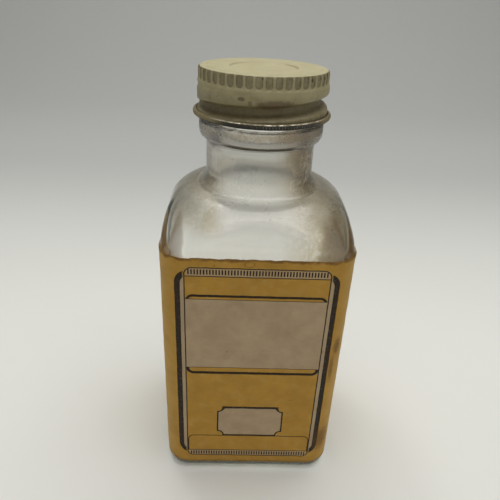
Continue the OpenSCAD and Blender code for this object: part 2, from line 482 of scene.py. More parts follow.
class Paint(Graph):
    """A material in the making, with the Object coordinates in millimetres at hand."""

    def __init__(self, name: str, effects: Optional[Effects] = None) -> None:
        """Makes the material with a Principled shader and its output.

        Args:
            name: The material's name.
            effects: The shared groups, for a finish that uses them.
        """
        self.material = bpy.data.materials.new(name)
        self.material.use_nodes = True
        super().__init__(self.material.node_tree)
        self.effects = effects
        self.tree.nodes.clear()
        self.shader = self.tree.nodes.new("ShaderNodeBsdfPrincipled")
        self.output = self.tree.nodes.new("ShaderNodeOutputMaterial")
        self.tree.links.new(self.shader.outputs[0], self.output.inputs["Surface"])
        self.point = self.scaled(self.get("ShaderNodeTexCoord", out="Object"), (1 / MM,) * 3)

    def turned(self) -> Tuple[Wire, Wire, Wire]:
        """Turns the point into its place round the object's axis.

        Returns:
            Its radius, its direction in degrees from -180 to 180, and its height.
        """
        x, y, z = self.parts(self.point)
        radius = self.math("SQRT", x * x + y * y)
        return radius, self.math("ARCTAN2", y, x) * (360 / TAU), z

    def stretched(self, x: float, y: float, z: float) -> Wire:
        """Gives the point scaled along each axis, for a pattern that runs one way."""
        return self.scaled(self.point, (x, y, z))

    def grime(self, scale: float, cover: Number, soft: float,
              point: Optional[Wire] = None) -> Wire:
        """Gives a mask of uneven dirt.

        Args:
            scale: Its frequency, per millimetre.
            cover: How much of the surface it takes, from 0 to 1.
            soft: How soft its edges are.
            point: Where it is read, if not at the point itself.

        Returns:
            The mask.
        """
        return self.use(self.effects.grime, Point=point or self.point, Scale=scale,
                        Cover=cover, Softness=soft)

    def flecks(self, scale: float, share: Number, size: float,
               point: Optional[Wire] = None) -> Wire:
        """Gives a mask of scattered specks.

        Args:
            scale: How many cells there are to a millimetre.
            share: The share of the cells that hold a speck.
            size: How large a speck is, in cells.
            point: Where it is read, if not at the point itself.

        Returns:
            The mask.
        """
        return self.use(self.effects.flecks, Point=point or self.point, Scale=scale,
                        Share=share, Size=size)

    def blot(self, patch: Patch, point: Optional[Wire] = None, out: str = "Mask") -> Wire:
        """Gives the mask of one ragged stain.

        Args:
            patch: The stain.
            point: Where it is read, if not at the point itself.
            out: Whether it is the whole stain or its rim.

        Returns:
            The mask, at the stain's strength.
        """
        return self.use(self.effects.blot, out, Point=point or self.point,
                        Centre=patch.centre, Reach=patch.reach, Ragged=patch.ragged,
                        Softness=patch.soft) * patch.strength

    def fibre(self, out: str, scale: float, point: Optional[Wire] = None) -> Wire:
        """Gives the height or the mottle of felted fibres.

        Args:
            out: Which of the two it is.
            scale: Its frequency, per millimetre.
            point: Where it is read, if not at the point itself.

        Returns:
            The value.
        """
        return self.use(self.effects.fibre, out, Point=point or self.point, Scale=scale)

    def bump(self, height: Wire, reach: float, under: Optional[Wire] = None) -> Wire:
        """Adds a Bump node.

        Args:
            height: The height, from 0 to 1.
            reach: How far 1 stands up, in millimetres.
            under: A normal that this one is laid over.

        Returns:
            The normal.
        """
        inputs = {"Height": height, "Distance": reach * MM}
        if under is not None:
            inputs["Normal"] = under
        return self.get("ShaderNodeBump", inputs)

    def coat(self, **inputs: object) -> bpy.types.Material:
        """Feeds the Principled shader and gives the material.

        Args:
            inputs: What goes into its inputs, by name, with _ for a space.

        Returns:
            The finished material.
        """
        for name, value in inputs.items():
            self.feed(self.shader.inputs[name.replace("_", " ")], value)
        return self.material


@dataclass(frozen=True)
class ClearGlass:
    """Clear bottle glass, misted inside, with dried residue, dust and rust under the cap, and soot
    with painted shade on the collar's top.

    Each span is a pair of heights in millimetres.
    """

    tint: Rgb = (0.985, 0.985, 0.965)
    residue: Rgb = srgb(192, 170, 112)
    dust: Rgb = srgb(196, 162, 106)
    streak: Rgb = srgb(128, 98, 60)
    # A near-black brown for the collar's top: partly soot, partly painted shade in the gap under
    # the cap's curl.
    soot_and_shade: Rgb = srgb(52, 40, 28)
    speck: Rgb = srgb(70, 52, 36)
    shade: Rgb = (0.74, 0.75, 0.72)
    index: float = 1.5
    clean_rough: float = 0.02
    film_rough: float = 0.3
    stained: Span = (55.0, 95.0)
    side_film: Span = (60.0, 78.0)
    misted: Span = (70.0, 90.0)
    root: Span = (70.0, 84.0)
    root_haze: Span = (73.0, 84.0)
    neck: Span = (76.0, 92.0)
    seam: Span = (88.72, 89.02)
    seam_haze: Span = (88.3, 91.5)
    under_cap: Span = (90.2, 93.8)
    crust: Patch = Patch((17.5, -11.0, 69.0), (4.0, 7.0, 6.5), 0.9, 0.4)

    def material(self, effects: Effects) -> bpy.types.Material:
        """Builds the material.

        Args:
            effects: The shared groups.

        Returns:
            The finished glass.
        """
        p = Paint("bottle_glass", effects)
        x, y, _ = p.parts(p.point)
        radius, _, z = p.turned()
        inside = p.get("ShaderNodeAttribute", out="Fac", attribute_name=Bottle.inner_flag)
        cloud = p.grime(0.13, 0.62, 0.34, p.stretched(1, 1, 0.45))
        fine = p.grime(0.75, 0.5, 0.3)
        grain = p.grime(1.9, 0.5, 0.3, p.stretched(1, 1, 0.4))

        low, high = self.stained
        height = p.step(z, low, low + 13.0) * p.step(z, high, high - 11.0)
        right = p.step(x, 1.0, 14.0) * height
        root = p.band(z, *self.root, 4.0) * p.step(x, -5.0, -12.0)
        spread = p.most(right * 0.85, root * 0.9, height * 0.15)
        sides = p.step(x, 6.0, 10.0) + p.step(x, -9.5, -12.0) * 0.4
        neck_side = sides * p.band(z, *self.neck, 3.0)
        stain = p.most(spread, neck_side) * (0.15 + cloud * 0.4 + grain * 0.45)
        stain = p.most(stain, neck_side * (0.7 + grain * 0.3))

        drops = p.flecks(0.85, 0.6, 0.34)
        specks = p.flecks(1.1, 0.12, 0.2) * p.step(z, 69.0, 86.0) * 0.7
        specks = p.most(specks, p.blot(self.crust) * drops * 0.85)
        near_cap = p.band(z, *self.under_cap, 1.6) * p.step(radius, 13.0, 14.2)
        rust = near_cap * p.grime(1.5, 0.58 + p.step(x, -10.0, 13.0) * 0.3, 0.45)
        # Painted shade: the collar's top under the cap's curl is darkened nearly to black, as well
        # as sooty.
        soot_and_shade = p.step(z, 92.5, 93.1) * p.step(radius, 13.0, 13.6) * (0.5 + fine * 0.4)
        crumbs = near_cap * p.flecks(1.9, 0.35 + p.step(x, -12.0, 13.0) * 0.4, 0.42)
        seam = p.band(z, *self.seam, 0.1) * p.step(radius, 12.7, 12.9) * (0.45 + cloud * 0.4)
        film_edge = p.step(x - y * 0.35, 17.5, 22.0) * p.band(z, *self.side_film, 5.0)

        colour = p.mix(stain * 0.85, self.tint, self.residue)
        colour = p.mix(film_edge * (0.2 + grain * 0.3), colour, self.residue)
        colour = p.mix(neck_side * (0.25 + grain * 0.5), colour, self.streak)
        colour = p.mix(p.most(rust * 0.85, near_cap * 0.2), colour, self.dust)
        colour = p.mix(p.most(specks, crumbs * 0.8, seam), colour, self.speck)
        colour = p.mix(soot_and_shade, colour, self.soot_and_shade)

        haze = p.band(z, *self.misted, 5.0) * (0.8 + cloud * 0.2)
        film = p.most(haze, 0.25, stain * 0.4) * self.film_rough
        settled = p.band(z, *self.root_haze, 3.4) + p.band(z, *self.seam_haze, 1.0)
        handled = (self.clean_rough + fine * 0.02 + stain * 0.1 + near_cap * 0.2
                   + settled * 0.15 + film_edge * (0.05 + grain * 0.1))
        rough = p.blend(inside, handled, film)
        rough = p.most(rough, p.most(rust, soot_and_shade) * 0.5, neck_side * grain * 0.45)
        ripples = p.noise(p.stretched(1, 1, 0.35), 0.16, 2, 0.5)
        dried = p.most(rust, specks, crumbs, stain * grain * 0.15)
        normal = p.bump(ripples, 0.1, p.bump(dried, 0.03))
        p.coat(Base_Color=colour, Roughness=rough, Normal=normal, IOR=self.index,
               Transmission_Weight=1.0)
        clear = p.get("ShaderNodeBsdfTransparent", {"Color": self.shade})
        lamp_ray = p.get("ShaderNodeLightPath", out="Is Shadow Ray")
        both = p.get("ShaderNodeMixShader",
                     {0: lamp_ray, 1: Wire(p, p.shader.outputs[0]), 2: clear})
        p.feed(p.output.inputs["Surface"], both)
        return p.material


@dataclass(frozen=True)
class CapEnamel:
    """Cream enamel on tinplate, darkened in the flutes and the thread by grime and painted shade,
    with painted shade on its side and under its curl, worn to tin and rust below.

    Heights and radii are in millimetres, and directions in degrees from the right.
    """

    cream: Rgb = srgb(194, 187, 149)
    yellowed: Rgb = srgb(166, 154, 106)
    # A darker copy of the cream for the side and the curl: partly handling grime, partly painted
    # shade.
    handled: Rgb = srgb(122, 110, 72)
    # A dark brown for grime, and for painted shade in the flutes and the thread's valley.
    grime: Rgb = srgb(74, 62, 40)
    # Near black, for sooty spots, and for painted shade under the curl and in the slit above it.
    soot_and_shade: Rgb = srgb(22, 19, 15)
    rust: Rgb = srgb(82, 62, 37)
    tin: Rgb = srgb(196, 188, 172)
    top: float = CAP_TOP
    knurl_foot: float = 101.6
    spots: Span = (103.1, 104.3)
    cleaner: Span = (-112.0, -72.0)
    front: Span = (-140.0, -28.0)
    panel_seam: Span = (7.25, 7.95)
    rim_edge: Span = (12.7, 13.15)
    curl_z: float = CURL_Z
    curl_in: float = 14.98
    slit_out: float = 15.24
    slit: Span = (94.8, 95.5)
    teeth: int = CURL_TEETH
    patches: Tuple[Patch, ...] = (
        Patch((2.2, -14.6, 98.7), (4.1, 2.5, 1.2), 0.8, 0.3, 0.7),
        Patch((-5.0, -14.2, 99.9), (0.75, 1.0, 0.4), 0.8, 0.3, 0.7),
        Patch((-3.2, -14.7, 99.1), (0.45, 1.0, 0.6), 0.8, 0.3, 0.5))

    def material(self, effects: Effects) -> bpy.types.Material:
        """Builds the material.

        Args:
            effects: The shared groups.

        Returns:
            The finished enamel.
        """
        p = Paint("cap_enamel_worn", effects)
        radius, turn, z = p.turned()
        cloud = p.grime(0.22, 0.55, 0.5)
        fine = p.grime(1.3, 0.5, 0.4)
        colour = p.mix(cloud * 0.45, self.cream, self.yellowed)

        foot_z = self.knurl_foot
        side = p.most(p.step(radius, 13.9, 14.6), p.step(z, foot_z + 0.2, foot_z))
        knurl = side * p.band(z, foot_z, self.top, 0.1)
        sunk = p.step(radius, 14.68, 14.48) * knurl
        faded = p.band(turn, *self.cleaner, 14.0) * 0.16
        # Grime and painted shade: the sunk flutes are darkened, a little less in front.
        flute_dirt_and_shade = sunk * (0.46 - faded + cloud * 0.15 + fine * 0.3)
        spots = p.flecks(0.85, 0.5, 0.4, p.stretched(1, 1, 0.7))
        spots = spots * side * p.band(z, *self.spots, 0.2) * p.step(radius, 14.74, 14.5)

        skirt = p.step(z, foot_z, foot_z - 0.6)
        # Painted shade: the thread's valley under the bulge is darkened, as well as grimy.
        valley = p.step(z, 100.3, 99.2) * p.step(radius, 15.07, 13.9) * 0.64
        low = p.step(z, 96.6, 95.6)
        streak = p.grime(0.9, 0.5, 0.45, p.stretched(1, 1, 0.3))
        skirt_dirt_and_shade = p.most(valley * (0.72 + fine * 0.25), low * streak * 0.55)
        hazy = p.grime(0.35, 0.3, 0.4)
        # Painted shade: the side below the top is darkened, more towards the bottom of the skirt,
        # as well as grimy from handling.
        rubbed_in_and_side_shade = side * (0.52 + hazy * 0.2 + p.step(z, 101.2, 98.2) * 0.3)
        colour = p.mix(p.step(z, 104.45, 104.2) * rubbed_in_and_side_shade, colour, self.handled)
        # dirt holds grime and painted shade together: the flutes, the thread's valley and the
        # skirt.
        dirt = p.most(flute_dirt_and_shade, skirt_dirt_and_shade, skirt * hazy * 0.2)
        colour = p.mix(dirt, colour, self.grime)
        rust = p.most(*(p.blot(patch) for patch in self.patches))

        foot = p.step(radius, self.curl_in, 15.1) * p.step(z, 95.6, 95.4)
        teeth = abs(p.math("FRACT", turn * (self.teeth / 360)) - 0.5)
        below = self.curl_z - z + (teeth - 0.25) * 0.1
        front = p.band(turn, *self.front, 22.0)
        chewed = p.grime(1.9, 0.2 + p.step(turn, -100.0, -20.0) * 0.3, 0.22)
        glint = p.grime(0.8, 0.52, 0.2)
        bare = foot * p.band(below, -0.62, -0.38, 0.08) * glint * front
        ticks = (p.step(teeth, 0.36, 0.44) * p.band(below, -0.26, 0.3, 0.1) * foot * fine
                 * p.step(turn, -110.0, -80.0))
        # Painted shade: the curl's underside, most of all in front, is painted near black, partly
        # dark rusty tin and partly shade.
        under = foot * p.step(below, -0.44, -0.34) * p.most(front, p.step(below, 0.2, 0.4))
        # Painted shade: a dark line in the slit between the skirt and the curl's cut edge.
        slit = p.band(radius, self.curl_in, self.slit_out, 0.05) * p.band(z, *self.slit, 0.1)
        curl_rust = foot * chewed * 0.6
        metal = p.most(bare, ticks * front * 0.5)
        # The curl takes half of the same darker colour, partly painted shade.
        colour = p.mix(foot * 0.5, colour, self.handled)
        colour = p.mix(p.most(rust, curl_rust), colour, self.rust)
        # Sooty spots take the near-black colour, and so do the painted shade under the curl and in
        # the slit.
        colour = p.mix(p.most(spots, under * 0.95, slit * 0.85), colour, self.soot_and_shade)
        colour = p.mix(metal, colour, self.tin)

        seam = p.band(radius, *self.panel_seam, 0.3) * p.step(z, 103.9, 104.0)
        edge = p.band(radius, *self.rim_edge, 0.18) * p.step(z, 104.2, 104.3)
        colour = p.mix(seam * 0.3 + edge * cloud * 0.3, colour, self.grime)
        scratch = p.flecks(0.9, 0.4, 0.13, p.stretched(0.1, 1, 1))
        rubbed = p.grime(0.8, 0.35, 0.35, p.stretched(0.25, 1, 1))
        scuffs = p.most(scratch * 0.6, rubbed * 0.3) * p.step(z, 103.9, 104.1)
        colour = p.mix(scuffs, colour, self.yellowed)
        colour = p.mix(p.flecks(0.8, 0.08, 0.14) * 0.7, colour, self.grime)

        scuffed = p.most(dirt, rust, curl_rust, under)
        rough = p.blend(scuffed, 0.36, 0.72)
        rough = p.blend(metal, rough + fine * 0.06, 0.3)
        orange_peel = p.noise(p.point, 1.4, 3, 0.5)
        pitted = p.bump(p.noise(p.point, 5.0, 3, 0.7) * p.most(scuffed, spots), 0.09)
        cut_edge = p.bump(teeth * foot * p.step(below, -0.1, 0.1), 0.12, pitted)
        return p.coat(Base_Color=colour, Roughness=rough, Metallic=metal,
                      Normal=p.bump(orange_peel, 0.02, cut_edge), Specular_IOR_Level=0.45)


@dataclass(frozen=True)
class RuledBox:
    """One rounded box of the label's border, centred on the front, in millimetres."""

    half_width: float
    low: float
    high: float
    corner: float
    width: float


@dataclass(frozen=True)
class LabelPrint:
    """The sizes of the label's plain ruled border and blank panels, in millimetres.

    Lengths along the paper start at the middle of the front, and heights at the table.
    """

    frame: RuledBox = RuledBox(16.45, 5.45, 65.15, 1.7, 0.28)
    bars: RuledBox = RuledBox(18.1, 7.1, 63.9, 2.9, 1.38)
    lid: RuledBox = RuledBox(16.05, 50.0, 57.85, 1.5, 0.66)
    tray: RuledBox = RuledBox(16.05, 35.15, 42.0, 1.5, 0.8)
    foot: RuledBox = RuledBox(16.2, 3.0, 13.1, 1.5, 0.26)
    rule_low: float = 7.45
    rule_high: float = 62.98
    rule_width: float = 0.28
    thin_rule: float = 0.2
    hatch: Tuple[Span, Span] = ((5.75, 7.1), (63.4, 64.8))
    hatch_pitch: float = 0.69
    hatch_x: float = 15.75
    panel: Span = (36.8, 56.9)
    plate_x: float = 8.45
    plate_low: float = 13.4
    plate_high: float = 23.4
    plate_notch: float = 1.5


@dataclass(frozen=True)
class LabelPaper:
    """Ochre label paper with a plain ruled border, aged, stained and worn at its edges."""

    ochre: Rgb = srgb(189, 144, 58)
    faded: Rgb = srgb(208, 176, 110)
    beige: Rgb = srgb(186, 163, 130)
    ink: Rgb = srgb(9, 8, 7)
    stain: Rgb = srgb(92, 60, 30)
    back: Rgb = srgb(204, 170, 112)
    glue: Rgb = srgb(138, 112, 70)
    pale_back: Rgb = srgb(196, 180, 146)
    print: LabelPrint = LabelPrint()
    stains: Tuple[Patch, ...] = (Patch((20.8, 43.0, 0), (1.2, 2.6, 1), 1.5, 0.7, 0.7),
                                 Patch((19.8, 36.5, 0), (0.8, 4.0, 1), 1.6, 0.8, 0.6),
                                 Patch((20.0, 11.5, 0), (2.6, 4.0, 1), 1.6, 0.7, 0.65))
    ring: Patch = Patch((-2.0, 66.3, 0), (1.3, 0.8, 1), 0.5, 0.2, 0.6)

    @staticmethod
    def _box_group() -> bpy.types.NodeTree:
        """Builds a rounded box drawn with one line, as a Line and an Inside mask.

        Returns:
            The group's tree.
        """
        g = Group("Ruled box", {n: Kind.NUMBER for n in
                                ("X", "Y", "Middle", "Half Width", "Half Height", "Corner",
                                 "Line Width")}, {"Line": Kind.NUMBER, "Inside": Kind.NUMBER})
        corner = g.given("Corner")
        across = abs(g.given("X")) - g.given("Half Width") + corner
        along = abs(g.given("Y") - g.given("Middle")) - g.given("Half Height") + corner
        out_x, out_y = g.most(across, 0), g.most(along, 0)
        away = (g.math("SQRT", out_x * out_x + out_y * out_y)
                + g.least(g.most(across, along), 0) - corner)
        half, soft = g.given("Line Width") * 0.5, 0.045
        return g.done(Line=g.step(abs(away), half + soft, half - soft),
                      Inside=g.step(away, soft, -soft))

    def _plate(self, p: Paint, x: Wire, y: Wire) -> Tuple[Wire, Wire]:
        """Builds the small blank plate with hollowed corners near the foot.

        Args:
            p: The material in the making.
            x: The length along the paper.
            y: The height.

        Returns:
            Its outline and its inside, as masks.
        """
        size = self.print
        middle = (size.plate_low + size.plate_high) / 2
        half_height = (size.plate_high - size.plate_low) / 2
        across = abs(x) - size.plate_x
        along = abs(y - middle) - half_height
        corner = size.plate_notch - p.math("SQRT", across * across + along * along)
        away = p.most(across, along, corner)
        half = 0.2 + p.step(y, size.plate_high - 1.0, size.plate_high - 0.5) * 0.16
        return p.step(abs(away), half + 0.05, half - 0.05), p.step(away, 0.05, -0.05)

    def _ruling(self, p: Paint, x: Wire, y: Wire) -> Tuple[Wire, Wire]:
        """Draws the border, its rules and the blank panels.

        Args:
            p: The material in the making.
            x: The length along the paper.
            y: The height.

        Returns:
            The ink and the pale ground, as masks.
        """
        size = self.print
        side = abs(x)
        group = self._box_group()

        def ruled(box: RuledBox, out: str = "Line", width: Optional[float] = None) -> Wire:
            """Draws one ruled box.

            Args:
                box: The box.
                out: Whether it is the box's Line or its Inside.
                width: The line's width, if not the box's own.

            Returns:
                The mask.
            """
            return p.use(group, out, X=x, Y=y, Middle=(box.low + box.high) / 2,
                         Half_Width=box.half_width, Half_Height=(box.high - box.low) / 2,
                         Corner=box.corner, Line_Width=width or box.width)

        def rule(height: float, width: float) -> Wire:
            """Gives one level rule across the frame."""
            return p.band(y, height - width / 2, height + width / 2, 0.05) * p.step(
                side, reach, reach - 0.08)

        reach = size.frame.half_width
        low, high = size.panel
        bars = ruled(size.bars) * p.step(side, 16.5, 17.0)
        comb = p.step(abs(p.math("FRACT", x / size.hatch_pitch) - 0.5), 0.3, 0.2)
        hatch = comb * p.most(*(p.band(y, *end, 0.1) for end in size.hatch)) * p.step(
            side, size.hatch_x, size.hatch_x - 0.1)
        lid = ruled(size.lid) * p.step(y, high, high + 0.1)
        tray = ruled(size.tray) * p.step(y, low, low - 0.1)
        foot = ruled(size.foot) * p.step(y, 7.5, 7.6)
        rules = p.most(*(rule(height, size.rule_width) for height in
                         (size.rule_high, size.rule_low)), lid, tray, foot,
                       *(rule(height, size.thin_rule) for height in (high, low)))
        plate, plate_in = self._plate(p, x, y)
        panel = p.band(y, low, high, 0.05) * p.step(side, reach, reach - 0.1)
        edges = (p.band(y, size.rule_high, size.frame.high, 0.05)
                 + p.band(y, size.frame.low, size.rule_low, 0.05))
        gaps = ruled(size.bars, "Inside", 0.2) * p.step(side, reach, reach + 0.1)
        pale = p.most(panel, plate_in, edges * p.step(side, 16.2, 16.0) * 0.8, gaps)
        return p.most(ruled(size.frame), bars, hatch, rules, plate), pale

    def front(self, effects: Effects, sheet: "LabelSheet") -> bpy.types.Material:
        """Builds the printed face.

        Args:
            effects: The shared groups.
            sheet: The paper's sizes, which scale its UV map.

        Returns:
            The finished material.
        """
        p = Paint("label_front_ochre", effects)
        flat = p.get("ShaderNodeMapping",
                     {"Vector": p.get("ShaderNodeUVMap", uv_map=sheet.uv_name),
                      "Location": (-sheet.length / 2, sheet.low, 0),
                      "Scale": (sheet.length, sheet.high - sheet.low, 1)})
        x, y, _ = p.parts(flat)
        shake = (p.noise(flat, 0.5, 2) - 0.5) * 0.12
        x, y = x + shake, y + shake
        side = abs(x)
        ink, pale = self._ruling(p, x, y)

        mottle = p.fibre("Mottle", 2.2, flat)
        height = p.fibre("Height", 5.0, flat)
        worn = p.grime(0.35, 0.3, 0.35, flat)
        soiled = p.grime(0.12, 0.45, 0.5, flat)
        fade = p.most(p.step(side, 17.5, 26.0) * 0.65, worn * 0.3)
        ground = p.mix(fade, self.ochre, self.faded)
        ground = p.mix(pale, ground, self.beige)
        tone = p.blend(mottle, 0.78, 1.2)
        ground = p.get("ShaderNodeVectorMath",
                       {0: ground, 1: p.vector(tone, tone, tone)}, operation="MULTIPLY")
        rubbed = p.grime(1.6, 0.18, 0.3, flat)
        colour = p.mix(ink * (0.98 - rubbed * 0.3), ground, self.ink)

        rim = (p.noise(flat, 0.45, 3) - 0.5) * 2.2
        top = p.step(y + rim, sheet.high - 1.1, sheet.high - 0.1)
        foot = p.step(y + rim * 0.6, sheet.low + 1.2, sheet.low + 0.1)
        flap = p.step(side + rim, sheet.length / 2 - 1.6, sheet.length / 2 - 0.2)
        spots = p.most(*(p.blot(patch, flat) for patch in self.stains),
                       p.blot(self.ring, flat, "Rim"), p.flecks(0.3, 0.16, 0.13, flat) * 0.5)
        brown = p.most(top * 0.8, foot * 0.45, flap * 0.5, spots, soiled * 0.22)
        colour = p.mix(brown, colour, self.stain)
        rough = p.blend(ink, 0.66, 0.6) + soiled * 0.08
        crease = p.noise(p.scaled(flat, (1, 0.35, 1)), 0.5, 5, 0.6)
        return p.coat(Base_Color=colour, Roughness=rough, Specular_IOR_Level=0.22,
                      Normal=p.bump(crease, 0.12, p.bump(height, 0.05)))

    def inner(self, effects: Effects) -> bpy.types.Material:
        """Builds the glued back of the paper, which shows through the glass.

        Args:
            effects: The shared groups.

        Returns:
            The finished material.
        """
        p = Paint("label_glued_back", effects)
        mottle = p.fibre("Mottle", 1.4)
        glue = p.grime(0.25, 0.5, 0.4, p.stretched(1, 1, 0.5))
        colour = p.mix(glue * 0.5, self.back, self.glue)
        colour = p.mix(mottle * 0.3, colour, self.pale_back)
        return p.coat(Base_Color=colour, Roughness=p.blend(glue, 0.7, 0.5),
                      Normal=p.bump(mottle, 0.05), Specular_IOR_Level=0.3)


@dataclass(frozen=True)
class Pulpboard:
    """Soft grey-brown board of pressed pulp, with a skin of fibres."""

    board: Rgb = srgb(158, 134, 98)
    dark: Rgb = srgb(104, 82, 54)
    fleck: Rgb = srgb(60, 48, 36)

    def material(self, effects: Effects) -> bpy.types.Material:
        """Builds the material.

        Args:
            effects: The shared groups.

        Returns:
            The finished board.
        """
        p = Paint("pulpboard_fibrous", effects)
        height = p.fibre("Height", 2.6)
        mottle = p.fibre("Mottle", 1.8)
        colour = p.mix(mottle, self.board, self.dark)
        colour = p.mix(p.flecks(1.7, 0.22, 0.2) * 0.6, colour, self.fleck)
        return p.coat(Base_Color=colour, Roughness=0.86 + mottle * 0.1,
                      Normal=p.bump(height, 0.12), Specular_IOR_Level=0.25)


@dataclass(frozen=True)
class WaxedFacing:
    """Waxed paper, off-white, with the brown ring that the rim has pressed into it."""

    paper: Rgb = srgb(214, 206, 182)
    yellowed: Rgb = srgb(186, 168, 126)
    ring: Rgb = srgb(128, 98, 60)
    fleck: Rgb = srgb(74, 54, 34)
    rim: Span = (9.9, 12.7)

    def material(self, effects: Effects) -> bpy.types.Material:
        """Builds the material.

        Args:
            effects: The shared groups.

        Returns:
            The finished facing.
        """
        p = Paint("waxed_paper_facing", effects)
        radius, _, _ = p.turned()
        grime = p.grime(0.35, 0.55, 0.45)
        pressed = p.band(radius, *self.rim, 0.5)
        outside = p.step(radius, 12.6, 13.2)
        colour = p.mix(grime * 0.3, self.paper, self.yellowed)
        colour = p.mix(p.most(pressed * (0.45 + grime * 0.4), outside * 0.6), colour, self.ring)
        colour = p.mix(p.flecks(0.9, 0.25, 0.16) * 0.7, colour, self.fleck)
        creases = p.noise(p.point, 0.9, 5, 0.65, 1.4)
        return p.coat(Base_Color=colour, Roughness=p.blend(pressed, 0.34, 0.5),
                      Normal=p.bump(creases, 0.06), Coat_Weight=0.3, Coat_Roughness=0.25)


# ---------------------------------------------------------------------------------------------
# Meshes
# ---------------------------------------------------------------------------------------------


def arc(centre: Tuple[float, float], radius: float, start: float, end: float,
        steps: int) -> Profile:
    """Gives points on an arc, both ends included.

    Args:
        centre: Its centre, as radius and height.
        radius: Its radius.
        start: Its first direction, in degrees from outwards, anticlockwise.
        end: Its last direction.
        steps: The number of steps.

    Returns:
        The points.
    """
    turns = np.radians(np.linspace(start, end, steps + 1))
    return [(centre[0] + radius * math.cos(a), centre[1] + radius * math.sin(a))
            for a in turns]


def line(start: Tuple[float, float], end: Tuple[float, float], steps: int) -> Profile:
    """Gives points along a straight line, without its first end.

    Args:
        start: The end that is left out.
        end: The last point.
        steps: The number of steps.

    Returns:
        The points.
    """
    reach, rise = end[0] - start[0], end[1] - start[1]
    return [(start[0] + reach * k / steps, start[1] + rise * k / steps)
            for k in range(1, steps + 1)]


def ripple(points: np.ndarray, wave: float, seed: int) -> np.ndarray:
    """Gives a smooth uneven value from about -1 to 1 at each point.

    Args:
        points: The points, in millimetres.
        wave: The typical length of a wave.
        seed: Which of the patterns it is.

    Returns:
        One value for each point.
    """
    waves, largest = 7, 3.2
    draw = np.random.default_rng(seed)
    total = np.zeros(points.shape[:-1])
    for _ in range(waves):
        way = draw.normal(size=3)
        way *= TAU / wave / np.linalg.norm(way) * draw.uniform(0.6, 1.5)
        total += np.sin(points @ way + draw.uniform(0, TAU))
    return total / largest


def new_object(name: str, points: np.ndarray, faces: Iterable[Sequence[int]]) -> bpy.types.Object:
    """Makes a smooth mesh object whose faces point outwards, at the origin.

    Args:
        name: The object's name.
        points: Its vertices, in millimetres.
        faces: Its faces, all wound the same way.

    Returns:
        The new object, linked to the scene.
    """
    faces = [list(f) for f in faces]
    volume = 0.0
    for f in faces:
        for k in range(1, len(f) - 1):
            a, b, c = points[f[0]], points[f[k]], points[f[k + 1]]
            volume += (a[0] * (b[1] * c[2] - b[2] * c[1]) - a[1] * (b[0] * c[2] - b[2] * c[0])
                       + a[2] * (b[0] * c[1] - b[1] * c[0]))
    if volume < 0:
        faces = [f[::-1] for f in faces]
    mesh = bpy.data.meshes.new(name)
    mesh.from_pydata((points * MM).tolist(), [], faces)
    mesh.polygons.foreach_set("use_smooth", [True] * len(mesh.polygons))
    mesh.update()
    made = bpy.data.objects.new(name, mesh)
    bpy.context.scene.collection.objects.link(made)
    return made


def turned_shell(name: str, rings: np.ndarray) -> bpy.types.Object:
    """Joins rings of equal length into one closed skin, with a pole at each end.

    Args:
        name: The object's name.
        rings: An array of rings by columns by three. The first and last rings are the poles.

    Returns:
        The new object.
    """
    count, columns = rings.shape[:2]
    points = np.concatenate([rings[0, :1], rings[1:-1].reshape(-1, 3), rings[-1, :1]])
    last = len(points) - 1
    faces: List[Tuple[int, ...]] = []
    for j in range(columns):
        k = (j + 1) % columns
        faces.append((0, 1 + k, 1 + j))
        for i in range(count - 3):
            low, high = 1 + i * columns, 1 + (i + 1) * columns
            faces.append((low + j, low + k, high + k, high + j))
        top = 1 + (count - 3) * columns
        faces.append((top + j, top + k, last))
    return new_object(name, points, faces)


def lathe(name: str, profile: Profile, columns: int) -> bpy.types.Object:
    """Turns a half section into a closed skin.

    Args:
        name: The object's name.
        profile: Points as radius and height, from one pole to the other.
        columns: The number of columns round the axis.

    Returns:
        The new object.
    """
    turns = np.arange(columns) / columns * TAU
    rim = np.stack([np.cos(turns), np.sin(turns)], 1)
    rings = np.array([np.column_stack([rim * r, np.full(columns, z)]) for r, z in profile])
    return turned_shell(name, rings)


def finished(piece: bpy.types.Object, body: Body, slot: Slot, *nodes: str) -> None:
    """Makes a piece ride on its body in place of the CAD nodes, and reports it.

    Args:
        piece: The piece.
        body: The body that it rides on.
        slot: The slot for its finish. It is not used.
        nodes: The CAD nodes that it stands for.
    """
    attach(piece, body.value)
    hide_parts(*nodes)
    LOG.info("%s: %d faces on %s", piece.name, len(piece.data.polygons), body.value)


# ---------------------------------------------------------------------------------------------
# Geometry trees
# ---------------------------------------------------------------------------------------------


